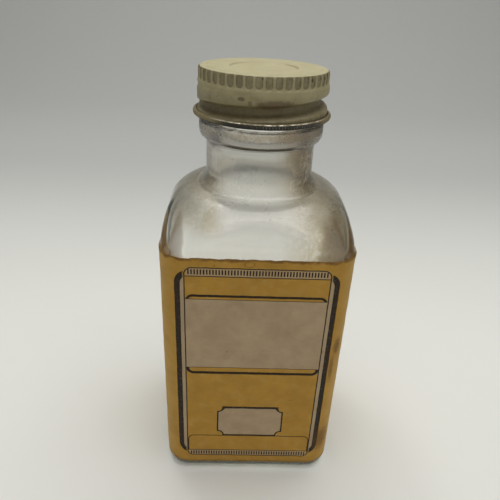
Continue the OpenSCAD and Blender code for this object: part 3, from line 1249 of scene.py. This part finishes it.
class Pressing(Group):
    """A geometry tree that presses a pattern into a turned skin."""

    def __init__(self, name: str, sizes: Dict[str, float], ridge: bpy.types.NodeTree) -> None:
        """Makes the tree with a number input for each size.

        Args:
            name: The tree's name.
            sizes: The inputs and their values, in metres or plain numbers.
            ridge: The group that gives a helical ridge its height.
        """
        self.sizes, self.ridge = sizes, ridge
        inputs = {"Mesh": Kind.MESH, **{n: Kind.NUMBER for n in sizes}, "Finish": Kind.MATERIAL}
        super().__init__(name, inputs, {"Mesh": Kind.MESH}, "GeometryNodeTree")
        x, y, self.height = self.parts(self.get("GeometryNodeInputPosition"))
        self.radius = self.math("SQRT", x * x + y * y)
        self.turn = self.math("ARCTAN2", y, x) / TAU
        reach = self.most(self.radius, 1e-6)
        self.outward = self.vector(x / reach, y / reach, 0)

    def winding(self, **shape: Wire) -> Wire:
        """Gives the rise of a helical ridge that winds as the tree's own inputs say.

        Args:
            shape: The ridge's Fade, Depth, Tip, Above and Below.

        Returns:
            How far the ridge stands at each point.
        """
        names = ("Top Turn", "Top Height", "Pitch", "Turns", "Run Out")
        way = {name.replace(" ", "_"): self.given(name) for name in names}
        return self.use(self.ridge, Turn=self.turn, Height=self.height, **way, **shape)

    def close(self, rise: Wire) -> None:
        """Moves each point outwards by rise, and ends the tree.

        Args:
            rise: How far each point moves.
        """
        offset = self.get("ShaderNodeVectorMath", {0: self.outward, "Scale": rise},
                          operation="SCALE")
        moved = self.get("GeometryNodeSetPosition",
                         {"Geometry": self.given("Mesh"), "Offset": offset})
        real = self.get("GeometryNodeRealizeInstances", {0: moved})
        self.done(Mesh=self.get("GeometryNodeSetMaterial",
                                {"Geometry": real, "Material": self.given("Finish")}))

    def press(self, piece: bpy.types.Object, finish: bpy.types.Material) -> None:
        """Runs the tree on a piece and keeps the result as its plain mesh.

        Args:
            piece: The piece.
            finish: The material that it ends with.
        """
        modifier = piece.modifiers.new(self.tree.name, "NODES")
        modifier.node_group = self.tree
        values = {**self.sizes, "Finish": finish}
        for item in self.tree.interface.items_tree:
            if item.in_out == "INPUT" and item.name in values:
                modifier[item.identifier] = values[item.name]
        ready = piece.evaluated_get(bpy.context.evaluated_depsgraph_get())
        mesh = bpy.data.meshes.new_from_object(ready)
        old, piece.data = piece.data, mesh
        piece.modifiers.clear()
        mesh.name = piece.name
        bpy.data.meshes.remove(old)


def helix_group() -> bpy.types.NodeTree:
    """Builds the height field of a ridge that winds round the axis and fades at both ends.

    Returns:
        The group, whose Rise is how far the ridge stands at a point.
    """
    names = ("Turn", "Height", "Top Turn", "Top Height", "Pitch", "Turns", "Run Out", "Fade",
             "Depth", "Tip", "Above", "Below")
    g = Group("Helical ridge", {n: Kind.NUMBER for n in names}, {"Rise": Kind.NUMBER},
              "GeometryNodeTree")
    height, pitch, top = g.given("Height"), g.given("Pitch"), g.given("Top Turn")
    level = top + (height - g.given("Top Height")) / pitch
    turn = g.given("Turn") + g.math("ROUND", level - g.given("Turn"))
    away = height - (g.given("Top Height") - pitch * (top - turn))
    lead = g.least((turn - top + g.given("Turns")) / g.given("Run Out"),
                   (top - turn) / g.given("Fade"), 1)
    fade = g.most(lead, 0)
    over = g.math("GREATER_THAN", away, 0)
    foot = g.blend(over, g.given("Below"), g.given("Above")) * g.math("SQRT", fade)
    tip = g.given("Tip") * fade
    slope = g.step(abs(away), foot + 1e-7, tip)
    return g.done(Rise=slope * g.math("POWER", fade, 1.4) * g.given("Depth"))


# ---------------------------------------------------------------------------------------------
# Sub-assemblies
# ---------------------------------------------------------------------------------------------


@dataclass
class Bottle:
    """The moulded glass bottle: square body, round shoulder, collar and threaded finish."""

    half: float = BODY_HALF
    corner: float = BODY_CORNER
    heel: float = 2.5
    wall: float = 2.2
    floor: float = 4.0
    floor_edge_r: float = 3.4
    floor_edge_h: float = 3.0
    shoulder_z: float = 68.6
    shoulder_rise: float = 9.2
    corner_lead: float = 2.2
    roundness: float = 0.985
    neck_z: float = 77.8
    neck_r: float = 12.85
    neck_in: float = 10.65
    neck_top: float = 87.2
    root_r: float = 14.9
    root_h: float = 4.0
    seam_z: float = 88.85
    collar_foot: float = 13.0
    collar_mid: float = 91.4
    collar_top: float = 93.2
    collar_r: float = 14.58
    lip: float = 0.7
    cove: float = 0.3
    finish_r: float = 12.6
    rim_z: float = RIM_Z
    rim_edge: float = 0.6
    bore_r: float = 9.4
    bore_z: float = 90.8
    pushup_h: float = 1.0
    inner_flag: ClassVar[str] = "inner_wall"
    flat_columns: int = 20
    corner_columns: int = 32

    def _directions(self) -> np.ndarray:
        """Spaces the columns round the bottle, closer together at the four corners.

        Returns:
            Their directions, in radians.
        """
        edges = np.radians([0, 33, 57, 90])
        counts = (self.flat_columns, self.corner_columns, self.flat_columns)
        quarter = np.concatenate([np.linspace(a, b, n, endpoint=False)
                                  for a, b, n in zip(edges, edges[1:], counts)])
        return np.concatenate([quarter + k * TAU / 4 for k in range(4)])

    def _ring(self, half: float, corner: float, height: float) -> np.ndarray:
        """Gives a rounded square as one ring.

        Args:
            half: Half its width.
            corner: The radius of its corners; the same as half for a circle.
            height: Its height.

        Returns:
            One point for each column.
        """
        turn = self._directions()
        fold = np.abs((turn + TAU / 8) % (TAU / 4) - TAU / 8)
        c, s = np.cos(fold), np.sin(fold)
        inner = half - corner
        flat = half / c
        rounded = inner * (c + s) + np.sqrt(np.maximum(
            corner ** 2 - inner ** 2 * (c - s) ** 2, 0))
        reach = np.where(s / c <= inner / half, flat, rounded)
        return np.column_stack([reach * np.cos(turn), reach * np.sin(turn),
                                np.full(len(turn), height)])

    def _shoulder(self, inset: float, steps: int) -> List[np.ndarray]:
        """Gives the rings of the shoulder, from the body up to the neck root.

        Args:
            inset: How far the rings lie inside the outer surface.
            steps: The number of steps in the sweep.

        Returns:
            The rings.
        """
        rise = self.shoulder_rise - inset
        square = self.corner / self.half
        rings = []
        below = [(0.0, lead * self.corner_lead) for lead in (0.2, 0.6)]
        above = [(a, self.corner_lead + rise * math.sin(a))
                 for a in np.linspace(0, TAU / 4, steps + 1)]
        for a, up in below + above:
            half = self.root_r + (self.half - self.root_r) * math.cos(a)
            share = math.sin(TAU / 4 * up / (rise + self.corner_lead)) ** 1.5
            corner = half * (square + (self.roundness - square) * share)
            rings.append(self._ring(half - inset, corner - inset,
                                    self.shoulder_z - self.corner_lead + up))
        return rings

    def _root(self, low: float, start_r: float, end_r: float, steps: int) -> Profile:
        """Gives the tall fillet that leads from the shoulder up into the neck.

        Args:
            low: The height where it leaves the shoulder.
            start_r: Its radius there.
            end_r: The radius of the neck.
            steps: The number of steps.

        Returns:
            The points, from the shoulder up.
        """
        return [(start_r - (start_r - end_r) * math.sin(a), low + self.root_h * (1 - math.cos(a)))
                for a in np.linspace(0, TAU / 4, steps + 1)]

    def _round(self, profile: Profile) -> List[np.ndarray]:
        """Gives a circle for each point of a half section."""
        return [self._ring(r, r, z) for r, z in profile]

    def _outer(self) -> List[np.ndarray]:
        """Builds the outer skin.

        Returns:
            Its rings, from the hollow under the base up to the rim.
        """
        h, top = self.pushup_h, self.collar_top
        under = [(1.5, h + 0.12), (5, h + 0.1), (9, h + 0.05), (12.3, h), (13.0, h - 0.12),
                 (14.3, 0.42), (15.1, 0.12), (15.6, 0.0)]
        rings = self._round(under)
        rings.append(self._ring(18.0, 8.0, 0))
        for a in np.linspace(0, TAU / 4, 9):
            inset = self.heel * (1 - math.sin(a))
            rings.append(self._ring(self.half - inset, self.corner - inset,
                                    self.heel * (1 - math.cos(a))))
        for z in np.linspace(self.heel, self.shoulder_z - self.corner_lead, 26)[1:]:
            rings.append(self._ring(self.half, self.corner, z))
        rings += self._shoulder(0, 28)[:-2]
        neck = self._root(self.neck_z - 0.03, self.root_r + 0.55, self.neck_r, 16)
        neck += line(neck[-1], (self.neck_r, self.neck_top), 7)
        neck += [(12.87, 87.9), (12.91, 88.4), (12.97, 88.7), (13.02, self.seam_z - 0.04),
                 (13.03, self.seam_z), (self.collar_foot, self.seam_z + 0.03)]
        spread = self.collar_r - self.collar_foot
        drop = self.collar_mid - self.seam_z - 0.03
        for turn in np.linspace(0, TAU / 4, 16)[1:]:
            neck.append((self.collar_r - spread * (1 - math.sin(turn)) ** 1.35,
                         self.collar_mid - drop * math.cos(turn)))
        lip, cove, edge = self.lip, self.cove, self.rim_edge
        neck += line(neck[-1], (self.collar_r, top - lip), 4)
        neck += arc((self.collar_r - lip, top - lip), lip, 0, 90, 6)[1:]
        neck += line(neck[-1], (self.finish_r + cove, top), 3)
        neck += arc((self.finish_r + cove, top + cove), cove, 270, 180, 3)[1:]
        neck += line(neck[-1], (self.finish_r, self.rim_z - edge), 60)
        neck += arc((self.finish_r - edge, self.rim_z - edge), edge, 0, 90, 6)[1:]
        return rings + self._round(neck)

    def _inner(self) -> List[np.ndarray]:
        """Builds the inner skin.

        Returns:
            Its rings, from the rim down to the floor.
        """
        lip = self.lip
        bore = line((self.finish_r - self.rim_edge, self.rim_z),
                    (self.bore_r + lip, self.rim_z), 3)
        bore += arc((self.bore_r + lip, self.rim_z - lip), lip, 90, 180, 6)[1:]
        bore += line(bore[-1], (self.bore_r, self.bore_z), 8)
        bore += [(9.55, self.bore_z - 0.6), (10.0, self.bore_z - 1.5),
                 (10.45, self.bore_z - 2.4), (10.62, self.bore_z - 3.2)]
        root = self._root(self.neck_z - self.wall, self.root_r - self.wall + 1.0,
                          self.neck_in, 12)
        bore += line(bore[-1], root[-1], 6) + root[-2:0:-1]
        rings = self._round(bore)
        rings += self._shoulder(self.wall, 22)[-3::-1]
        low = self.floor + self.floor_edge_h
        for z in np.linspace(self.shoulder_z - self.corner_lead, low, 16)[1:-1]:
            rings.append(self._ring(self.half - self.wall, self.corner - self.wall, z))
        for a in np.linspace(TAU / 4, 0, 9):
            inset = self.wall + self.floor_edge_r * (1 - math.sin(a))
            rings.append(self._ring(self.half - inset, max(self.corner - inset, 0.8),
                                    self.floor + self.floor_edge_h * (1 - math.cos(a))))
        rings.append(self._ring(15.0, 9.0, self.floor + 0.05))
        return rings + self._round([(12, self.floor + 0.25), (8, self.floor + 0.5),
                                    (4, self.floor + 0.62), (1.5, self.floor + 0.66)])

    def _unevenness(self, rings: np.ndarray, inside: int) -> np.ndarray:
        """Moves the rings a little, as moulded glass is uneven, most of all inside.

        Args:
            rings: Every ring.
            inside: The number of the first inner ring.

        Returns:
            The rings as moved.
        """
        flat = rings * np.array([1, 1, 0])
        size = np.linalg.norm(flat, axis=-1, keepdims=True)
        outward = flat / np.maximum(size, 1e-6)
        height = rings[..., 2]
        bare = np.clip((height - self.shoulder_z) / 4, 0, 1) * np.clip(
            (self.seam_z - 1 - height) / 3, 0, 1)
        swell = (0.012 * ripple(rings, wave=26, seed=11)
                 + 0.05 * bare * ripple(rings, wave=17, seed=12))
        body = np.clip((self.neck_z + 6 - height) / 8, 0, 1) * np.clip((height - 3) / 4, 0, 1)
        inner = body * (0.12 * ripple(rings, wave=24, seed=21)
                        + 0.03 * ripple(rings, wave=9, seed=22))
        swell[inside:] = inner[inside:]
        return rings + outward * swell[..., None]

    def _thread(self, ridge: bpy.types.NodeTree) -> Pressing:
        """Builds the tree that raises the glass thread on the finish.

        Args:
            ridge: The group that gives a helical ridge its height.

        Returns:
            The tree.
        """
        g = Pressing("Glass thread", {
            "Top Turn": 439.7 / 360, "Top Height": 101.05 * MM, "Pitch": PITCH * MM,
            "Turns": 1.1, "Run Out": 60 / 360, "Thread Height": 1.1 * MM,
            "Crest Half Width": 0.35 * MM, "Foot Half Width": 1.2 * MM,
            "Least Radius": 12.3 * MM}, ridge)
        foot = g.given("Foot Half Width")
        rise = g.winding(Fade=g.given("Run Out"), Depth=g.given("Thread Height"),
                         Tip=g.given("Crest Half Width"), Above=foot, Below=foot)
        outside = g.math("GREATER_THAN", g.radius, g.given("Least Radius"))
        g.close(rise * outside)
        return g

    def build(self, finish: bpy.types.Material, ridge: bpy.types.NodeTree) -> None:
        """Builds the bottle and puts it on its body.

        Args:
            finish: The glass.
            ridge: The group that gives a helical ridge its height.
        """
        outer, inner = self._outer(), self._inner()
        base = self._ring(1e-4, 1e-4, self.pushup_h + 0.12)
        floor = self._ring(1e-4, 1e-4, self.floor + 0.67)
        rings = self._unevenness(np.array([base, *outer, *inner, floor]), len(outer) + 1)
        piece = turned_shell("bottle_glass_moulded", rings)
        mark = piece.data.attributes.new(self.inner_flag, "FLOAT", "POINT")
        flags = np.zeros(len(piece.data.vertices), np.float32)
        flags[1 + len(outer) * rings.shape[1]:] = 1
        mark.data.foreach_set("value", flags)
        self._thread(ridge).press(piece, finish)
        finished(piece, Body.BOTTLE, Slot.GLASS, "glass_bottle")


@dataclass
class ScrewCap:
    """The pressed tinplate cap: sunk panel, fluted band, rolled thread and open curl."""

    top: float = CAP_TOP
    sheet: float = 0.28
    panel_r: float = 7.6
    panel_drop: float = 0.35
    knuckle: float = 0.7
    knurl_r: float = 14.75
    knurl_z: float = 101.9
    skirt_r: float = 14.95
    skirt_top: float = 101.2
    skirt_lead: float = 0.6
    bulge: float = 0.14
    bulge_z: float = 100.3
    bulge_h: float = 0.9
    flare: float = 0.06
    flare_z: float = 96.4
    flare_h: float = 1.3
    curl_c: float = 15.35
    curl_z: float = CURL_Z
    curl_r: float = 0.62
    flute_depth: float = 0.38
    slack_name: ClassVar[str] = "flute_slack"
    columns: int = 540

    def _skirt(self, drop: float) -> Profile:
        """Gives the half section of the skirt, from the fluted band down to the curl.

        Args:
            drop: How far this skin lies inside the outer one.

        Returns:
            Its points.
        """
        heights = np.concatenate([np.linspace(self.knurl_z, self.skirt_top, 7)[1:],
                                  np.linspace(self.skirt_top, self.curl_z + 0.1, 45)[1:]])
        points = []
        for z in heights:
            ease = min(max((self.knurl_z - z) / self.skirt_lead, 0), 1)
            ease = ease * ease * (3 - 2 * ease)
            radius = self.knurl_r + (self.skirt_r - self.knurl_r) * ease
            radius += self.bulge * math.exp(-((z - self.bulge_z) / self.bulge_h) ** 2)
            opened = min(max((self.flare_z - z) / self.flare_h, 0), 1)
            points.append((radius + self.flare * opened - drop, z))
        return points

    def _profiles(self) -> Tuple[Profile, Profile]:
        """Builds the half sections of the cap's two skins.

        Returns:
            The outside, from the top down, and the inside, from the curl up.
        """
        low, drop, edge = self.top - self.panel_drop, self.sheet, self.panel_r
        top = [(0, low + 0.02), (2, low + 0.02), (4.5, low + 0.01), (6.6, low)]
        step = [(edge + 0.35 * t, low + self.panel_drop * (0.5 + 0.5 * math.sin(t * TAU / 4)))
                for t in np.linspace(-1, 1, 9)]
        rim = [(8.4, self.top + 0.01), (10, self.top + 0.03), (11.6, self.top + 0.03),
               (12.6, self.top), (12.9, self.top - 0.035), (13.2, self.top - 0.01)]
        centre = (self.knurl_r - self.knuckle, self.top - self.knuckle)
        outside = top + step + rim + arc(centre, self.knuckle, 90, 0, 14)
        outside += line(outside[-1], (self.knurl_r, self.knurl_z), 14)
        outside += self._skirt(0)
        roll = (self.curl_c, self.curl_z)
        thin = self.curl_r - drop
        outside += arc(roll, thin, 180, 470, 14)[1:]
        outside += arc(roll, self.curl_r - drop / 2, 472, 472, 1)[1:]
        outside += arc(roll, self.curl_r, 470, 180, 22)
        inside = self._skirt(drop)[::-1][::2]
        inside += [(self.knurl_r - drop, self.knurl_z)]
        inside += line(inside[-1], (self.knurl_r - drop, centre[1]), 8)
        inside += arc(centre, self.knuckle - drop, 0, 90, 4)[1:]
        inside += [(12.6, self.top - drop), (9, self.top - drop)]
        inside += [(r, z - drop) for r, z in step[::-2]]
        return outside, inside + [(4, low - drop), (0, low - drop)]

    def _slack(self, profile: Profile, skin: float) -> List[float]:
        """Gives how far a flute's die travels before it meets each point.

        Args:
            profile: Points of one skin, as radius and height.
            skin: How far that skin lies inside the outer one.

        Returns:
            The travel in metres, for each point.
        """
        reach = self.knurl_r - skin
        return [min(max(reach - r, 0), self.flute_depth) * MM for r, _ in profile]

    def _pressing(self, ridge: bpy.types.NodeTree) -> Pressing:
        """Builds the tree that presses the flutes, the rolled thread and the curl's teeth.

        Args:
            ridge: The group that gives a helical ridge its height.

        Returns:
            The tree.
        """
        g = Pressing("Cap pressing", {
            "Flute Count": 45, "Flute Depth": self.flute_depth * MM,
            "Flute Width": 1.8 * MM, "Flute Foot": (self.knurl_z - 0.2) * MM,
            "Top Turn": 600 / 360, "Top Height": 101.3 * MM, "Pitch": PITCH * MM,
            "Turns": 1.24, "Run Out": 60 / 360, "Fade": 170 / 360,
            "Groove Depth": 1.53 * MM,
            "Groove Half Width": 0.5 * MM, "Above": 1.6 * MM, "Below": 2.0 * MM,
            "Tooth Count": CURL_TEETH, "Tooth Depth": 0.05 * MM,
            "Skirt Foot": (self.curl_z + 0.45) * MM}, ridge)
        spin = g.turn * g.given("Flute Count")
        across = (spin - g.math("ROUND", spin)) / g.given("Flute Count") * TAU * (
            self.knurl_r * MM)
        half = g.given("Flute Width") * 0.5
        past = g.most(g.given("Flute Foot") + half - g.height, 0)
        away = g.math("SQRT", across * across + past * past)
        slack = g.get("GeometryNodeInputNamedAttribute", {"Name": self.slack_name})
        flutes = g.most(g.step(away, half, half * 0.62) * g.given("Flute Depth") - slack, 0)
        groove = g.winding(Fade=g.given("Fade"), Depth=g.given("Groove Depth"),
                           Tip=g.given("Groove Half Width"), Above=g.given("Above"),
                           Below=g.given("Below"))
        foot = g.given("Skirt Foot")
        groove = groove * g.step(g.height, foot, foot + 0.5 * MM)
        side = g.math("GREATER_THAN", g.radius, (self.knurl_r - 1.2) * MM)
        tooth = g.turn * g.given("Tooth Count")
        teeth = abs(tooth - g.math("ROUND", tooth)) * 2 * g.given("Tooth Depth")
        teeth = teeth * g.step(g.radius, self.curl_c * MM, (self.curl_c + 0.3) * MM)
        g.close((flutes + groove) * side * -1 - teeth)
        return g

    def build(self, finish: bpy.types.Material, ridge: bpy.types.NodeTree) -> None:
        """Builds the cap and puts it on its body.

        Args:
            finish: The enamel.
            ridge: The group that gives a helical ridge its height.
        """
        outside, inside = self._profiles()
        piece = lathe("cap_pressed_tinplate", outside + inside, self.columns)
        slack = self._slack(outside, 0) + self._slack(inside, self.sheet)
        slack = slack[:1] + list(np.repeat(slack[1:-1], self.columns)) + slack[-1:]
        mark = piece.data.attributes.new(self.slack_name, "FLOAT", "POINT")
        mark.data.foreach_set("value", slack)
        self._pressing(ridge).press(piece, finish)
        finished(piece, Body.CAP, Slot.ENAMEL, "cap_shell")


@dataclass
class Liner:
    """The cap's liner: a pulpboard pad and a waxed paper facing that the rim has marked."""

    radius: float = 13.62
    rim_z: float = RIM_Z
    facing: float = 0.12
    pad: float = 0.95
    columns: int = 192

    def _sag(self, radius: float) -> float:
        """Gives how far the facing hangs below the rim's top.

        Args:
            radius: How far from the axis.

        Returns:
            The drop there.
        """
        inside = max(0.0, 1 - (radius / 10.0) ** 2)
        outside = min(max((radius - 12.3) / 0.5, 0), 1)
        return 0.14 * inside + 0.06 * outside

    def _disc(self, name: str, low: Callable[[float], float], high: Callable[[float], float],
              frayed: float) -> bpy.types.Object:
        """Makes a disc between two surfaces of revolution.

        Args:
            name: Its name.
            low: The height of its under side at a radius.
            high: The height of its upper side at a radius.
            frayed: How uneven its cut edge is.

        Returns:
            The disc.
        """
        radii = [2, 4, 6, 8, 9.2, 9.8, 10.4, 11, 11.6, 12.2, 12.6, 13.0, 13.3, 13.5]
        edge = self.radius
        middle = (low(edge) + high(edge)) / 2
        profile = [(0, low(0))] + [(r, low(r)) for r in radii]
        profile += [(edge - 0.03, low(edge) + 0.01), (edge, middle),
                    (edge - 0.03, high(edge) - 0.01)]
        profile += [(r, high(r)) for r in radii[::-1]] + [(0, high(0))]
        piece = lathe(name, profile, self.columns)
        places = np.array([v.co for v in piece.data.vertices]) / MM
        reach = np.hypot(places[:, 0], places[:, 1])
        share = (np.clip((reach - 13.2) / 0.3, 0, 1) * frayed
                 * ripple(places, wave=1.2, seed=31))
        places[:, :2] *= (1 + share / np.maximum(reach, 1))[:, None]
        piece.data.vertices.foreach_set("co", (places * MM).ravel())
        piece.data.update()
        return piece

    def build(self, board: bpy.types.Material, wax: bpy.types.Material) -> None:
        """Builds the pad and its facing and puts them on their body.

        Args:
            board: The pad's finish.
            wax: The facing's finish.
        """
        seam = self.rim_z + self.facing
        top = seam + self.pad
        pad = self._disc("liner_pulpboard", lambda r: seam - self._sag(r) * 0.6, lambda r: top,
                         0.05)
        pad.data.materials.append(board)
        finished(pad, Body.LINER, Slot.PULPBOARD, "liner_pad")
        facing = self._disc("liner_waxed_paper", lambda r: self.rim_z - self._sag(r),
                            lambda r: seam - self._sag(r) * 0.6 - 0.002, 0.02)
        facing.data.materials.append(wax)
        finished(facing, Body.LINER, Slot.WAX, "liner_facing")


@dataclass
class LabelSheet:
    """The paper label that is glued round the front and both sides of the body."""

    half: float = BODY_HALF
    corner: float = BODY_CORNER
    low: float = 2.9
    high: float = 67.5
    flap_end: float = 15.1
    sunk: float = 0.05
    paper: float = 0.12
    uv_name: str = "paper_sheet"
    rows: int = 96
    columns: int = 400

    @property
    def length(self) -> float:
        """Gives the paper's length along its path, from flap end to flap end."""
        straight = self.half - self.corner
        return 2 * (straight + self.corner * TAU / 4 + straight + self.flap_end)

    def _path(self, along: np.ndarray, off: np.ndarray) -> Tuple[np.ndarray, np.ndarray]:
        """Gives the plan of points at a length along the paper and a distance off the glass.

        Args:
            along: The lengths from the middle of the front.
            off: The distances off the glass.

        Returns:
            Their x and y.
        """
        straight, bend = self.half - self.corner, self.corner * TAU / 4
        far = np.abs(along)
        turn = np.clip((far - straight) / self.corner, 0, TAU / 4)
        reach = self.corner + off
        x = np.minimum(far, straight) + reach * np.sin(turn)
        y = -straight - reach * np.cos(turn) + np.maximum(far - straight - bend, 0)
        return np.sign(along) * x, y

    def _surface(self, along: np.ndarray, up: np.ndarray, extra: float) -> np.ndarray:
        """Gives the points of one face of the paper.

        Args:
            along: The lengths from the middle of the front.
            up: The heights.
            extra: How far this face lies off the back of the paper.

        Returns:
            The points.
        """
        x, y = self._path(along, np.zeros_like(along))
        places = np.stack([x, y, up], -1)
        flap = np.clip((np.abs(along) - self.length / 2 + 5) / 5, 0, 1) ** 2
        edge = np.clip((up - self.high + 3) / 3, 0, 1) ** 2
        curl = (flap * (0.22 + 0.2 * ripple(places, wave=22, seed=41))
                + edge * 0.08 * (1 + ripple(places, wave=13, seed=42)))
        wrinkle = (0.03 * (1 + ripple(places, wave=6, seed=43))
                   + 0.015 * (1 + ripple(places, wave=2.5, seed=44)))
        raised = np.maximum(wrinkle, 0) * (extra > 0)
        x, y = self._path(along, np.maximum(curl, 0) + raised + extra - self.sunk)
        return np.stack([x, y, up], -1)

    def build(self, front: bpy.types.Material, inner: bpy.types.Material) -> None:
        """Builds the label and puts it on its body.

        Args:
            front: The printed face.
            inner: The glued back.
        """
        n, m = self.columns, self.rows
        u, v = np.meshgrid(np.linspace(0, 1, n + 1), np.linspace(0, 1, m + 1), indexing="ij")
        rough = np.stack([u * self.length, v * 60, np.zeros_like(u)], -1)
        torn = (0.09 * ripple(rough, wave=3.2, seed=51)
                + 0.05 * ripple(rough, wave=1.1, seed=52))
        along = (u - 0.5) * self.length + torn * (2 * u - 1) ** 15
        up = self.low + v * (self.high - self.low) + torn * (2 * v - 1) ** 15
        outside = self._surface(along, up, self.paper).reshape(-1, 3)
        inside = self._surface(along, up, 0).reshape(-1, 3)
        points = np.concatenate([outside, inside])
        base, row = len(outside), m + 1
        faces = [(k, k + row, k + row + 1, k + 1)
                 for i in range(n) for k in range(i * row, i * row + m)]
        printed = len(faces)
        faces += [tuple(k + base for k in f[::-1]) for f in faces[:printed]]
        loop = ([i * row for i in range(n)] + [n * row + j for j in range(m)]
                + [i * row + m for i in range(n, 0, -1)] + list(range(m, 0, -1)))
        for a, b in zip(loop, loop[1:] + loop[:1]):
            faces.append((b, a, a + base, b + base))
        piece = new_object("label_paper_wrap", points, faces)
        mesh = piece.data
        mesh.materials.append(front)
        mesh.materials.append(inner)
        index = np.zeros(len(faces), np.int32)
        index[printed:2 * printed] = 1
        mesh.polygons.foreach_set("material_index", index)
        flat = np.stack([u.ravel(), v.ravel()], 1)
        flat = np.concatenate([flat, flat])
        corners = np.empty(len(mesh.loops), np.int32)
        mesh.loops.foreach_get("vertex_index", corners)
        layer = mesh.uv_layers.new(name=self.uv_name)
        layer.data.foreach_set("uv", flat[corners].ravel())
        finished(piece, Body.BOTTLE, Slot.PAPER, "label")


# ---------------------------------------------------------------------------------------------
# Studio
# ---------------------------------------------------------------------------------------------


@dataclass(frozen=True)
class Lamp:
    """One soft area lamp."""

    name: str
    place: Place
    size: Span
    power: float
    colour: Rgb = (1.0, 0.98, 0.95)
    target: Place = (0.0, 0.0, 0.05)

    def light(self) -> None:
        """Adds the lamp to the scene, turned to its target."""
        data = bpy.data.lights.new(self.name, "AREA")
        data.shape = "RECTANGLE"
        data.size, data.size_y = self.size
        data.energy, data.color = self.power, self.colour
        lamp = bpy.data.objects.new(self.name, data)
        bpy.context.scene.collection.objects.link(lamp)
        back = np.array(self.place, float) - np.array(self.target, float)
        back /= np.linalg.norm(back)
        right = np.cross((0, 0, 1) if abs(back[2]) < 0.99 else (0, 1, 0), back)
        right /= np.linalg.norm(right)
        turn = Matrix(np.column_stack([right, np.cross(back, right), back]).tolist())
        lamp.matrix_world = Matrix.Translation(self.place) @ turn.to_4x4()


@dataclass
class Studio:
    """The pale sweep under and behind the bottle, the soft lamps, the world and the camera."""

    near: float = -0.9
    bend: float = 0.42
    bend_r: float = 0.35
    wall_top: float = 1.5
    half_width: float = 3.2
    pale: Rgb = srgb(236, 237, 232)
    # A darker grey for the back of the sweep: painted shade where the light falls off.
    far: Rgb = srgb(190, 192, 189)
    fibre: Rgb = srgb(150, 150, 148)
    sky: float = 0.2
    backdrop: float = 0.8
    sky_colour: Rgb = (0.98, 0.99, 1.0)
    eye: Place = (-0.005772, -0.115965, 0.119779)
    right: Place = (0.99895, -0.01688, 0.04249)
    up: Place = (-0.02952, 0.47153, 0.88136)
    forward: Place = (0.03491, 0.88169, -0.47053)
    lens: float = 35.354
    sensor: float = 36.0
    nearest: float = 0.005

    def _sweep(self) -> None:
        """Builds the sweep as a floor that curves up into a back wall."""
        path = [(self.near, 0.0), (-0.1, 0.0), (0.1, 0.0)]
        path += [(self.bend + self.bend_r * math.sin(a), self.bend_r * (1 - math.cos(a)))
                 for a in np.linspace(0, TAU / 4, 24)]
        path.append((self.bend + self.bend_r, self.wall_top))
        points = np.array([(x, y, z) for y, z in path
                           for x in (-self.half_width, self.half_width)]) / MM
        faces = [(2 * k, 2 * k + 1, 2 * k + 3, 2 * k + 2) for k in range(len(path) - 1)]
        floor = new_object("studio_sweep", points, faces)
        paint = Paint("sweep_paper")
        _, y, z = paint.parts(paint.point)
        # Painted shade: the sweep is painted darker towards the back wall and its top, as the
        # light falls off.
        away = paint.step(y + z, 10.0, 260.0)
        grain = paint.noise(paint.point, 0.02, 3)
        colour = paint.mix(away, self.pale, self.far)
        colour = paint.mix(grain * 0.04, colour, self.fibre)
        floor.data.materials.append(paint.coat(Base_Color=colour, Roughness=0.9,
                                               Specular_IOR_Level=0.1))

    def _world(self) -> None:
        """Lights the scene evenly, and shows a plain pale backdrop past the sweep."""
        world = bpy.data.worlds.new("soft_room")
        bpy.context.scene.world = world
        world.use_nodes = True
        g = Graph(world.node_tree)
        g.tree.nodes.clear()
        path = g.node("ShaderNodeLightPath")
        seen = g.most(*(Wire(g, path.outputs[n]) for n in
                        ("Is Camera Ray", "Is Glossy Ray", "Is Transmission Ray")))
        strength = g.blend(seen, self.sky, self.backdrop)
        light = g.get("ShaderNodeBackground", {"Color": self.sky_colour, "Strength": strength})
        g.node("ShaderNodeOutputWorld", {"Surface": light})

    def _camera(self) -> None:
        """Places the camera."""
        data = bpy.data.cameras.new("eye")
        data.lens, data.sensor_width, data.clip_start = self.lens, self.sensor, self.nearest
        camera = bpy.data.objects.new("eye", data)
        bpy.context.scene.collection.objects.link(camera)
        turn = Matrix(np.column_stack([self.right, self.up, -np.array(self.forward)]).tolist())
        camera.matrix_world = Matrix.Translation(self.eye) @ turn.to_4x4()
        bpy.context.scene.camera = camera

    def build(self) -> None:
        """Builds the sweep, the lamps, the world and the camera."""
        self._sweep()
        self._world()
        for lamp in (
            Lamp("overhead", (0.06, 0.06, 0.8), (0.9, 0.8), 5.5),
            Lamp("front_fill", (0.1, -0.8, 0.45), (0.6, 0.5), 0.3),
            Lamp("shoulder_glint", (-0.154, 0.197, 0.506), (0.08, 0.03), 0.16),
            Lamp("shoulder_dot", (-0.068, 0.184, 0.532), (0.02, 0.02), 0.05),
        ):
            lamp.light()
        self._camera()
        bpy.context.scene.view_settings.view_transform = "Standard"


def main() -> None:
    """Builds the finishes, every sub-assembly in order and the studio."""
    logging.basicConfig(level=logging.INFO, format="%(message)s")
    effects, ridge = Effects(), helix_group()
    Bottle().build(ClearGlass().material(effects), ridge)
    sheet, paper = LabelSheet(), LabelPaper()
    sheet.build(paper.front(effects, sheet), paper.inner(effects))
    Liner().build(Pulpboard().material(effects), WaxedFacing().material(effects))
    ScrewCap().build(CapEnamel().material(effects), ridge)
    Studio().build()


if __name__ == "__main__":
    main()
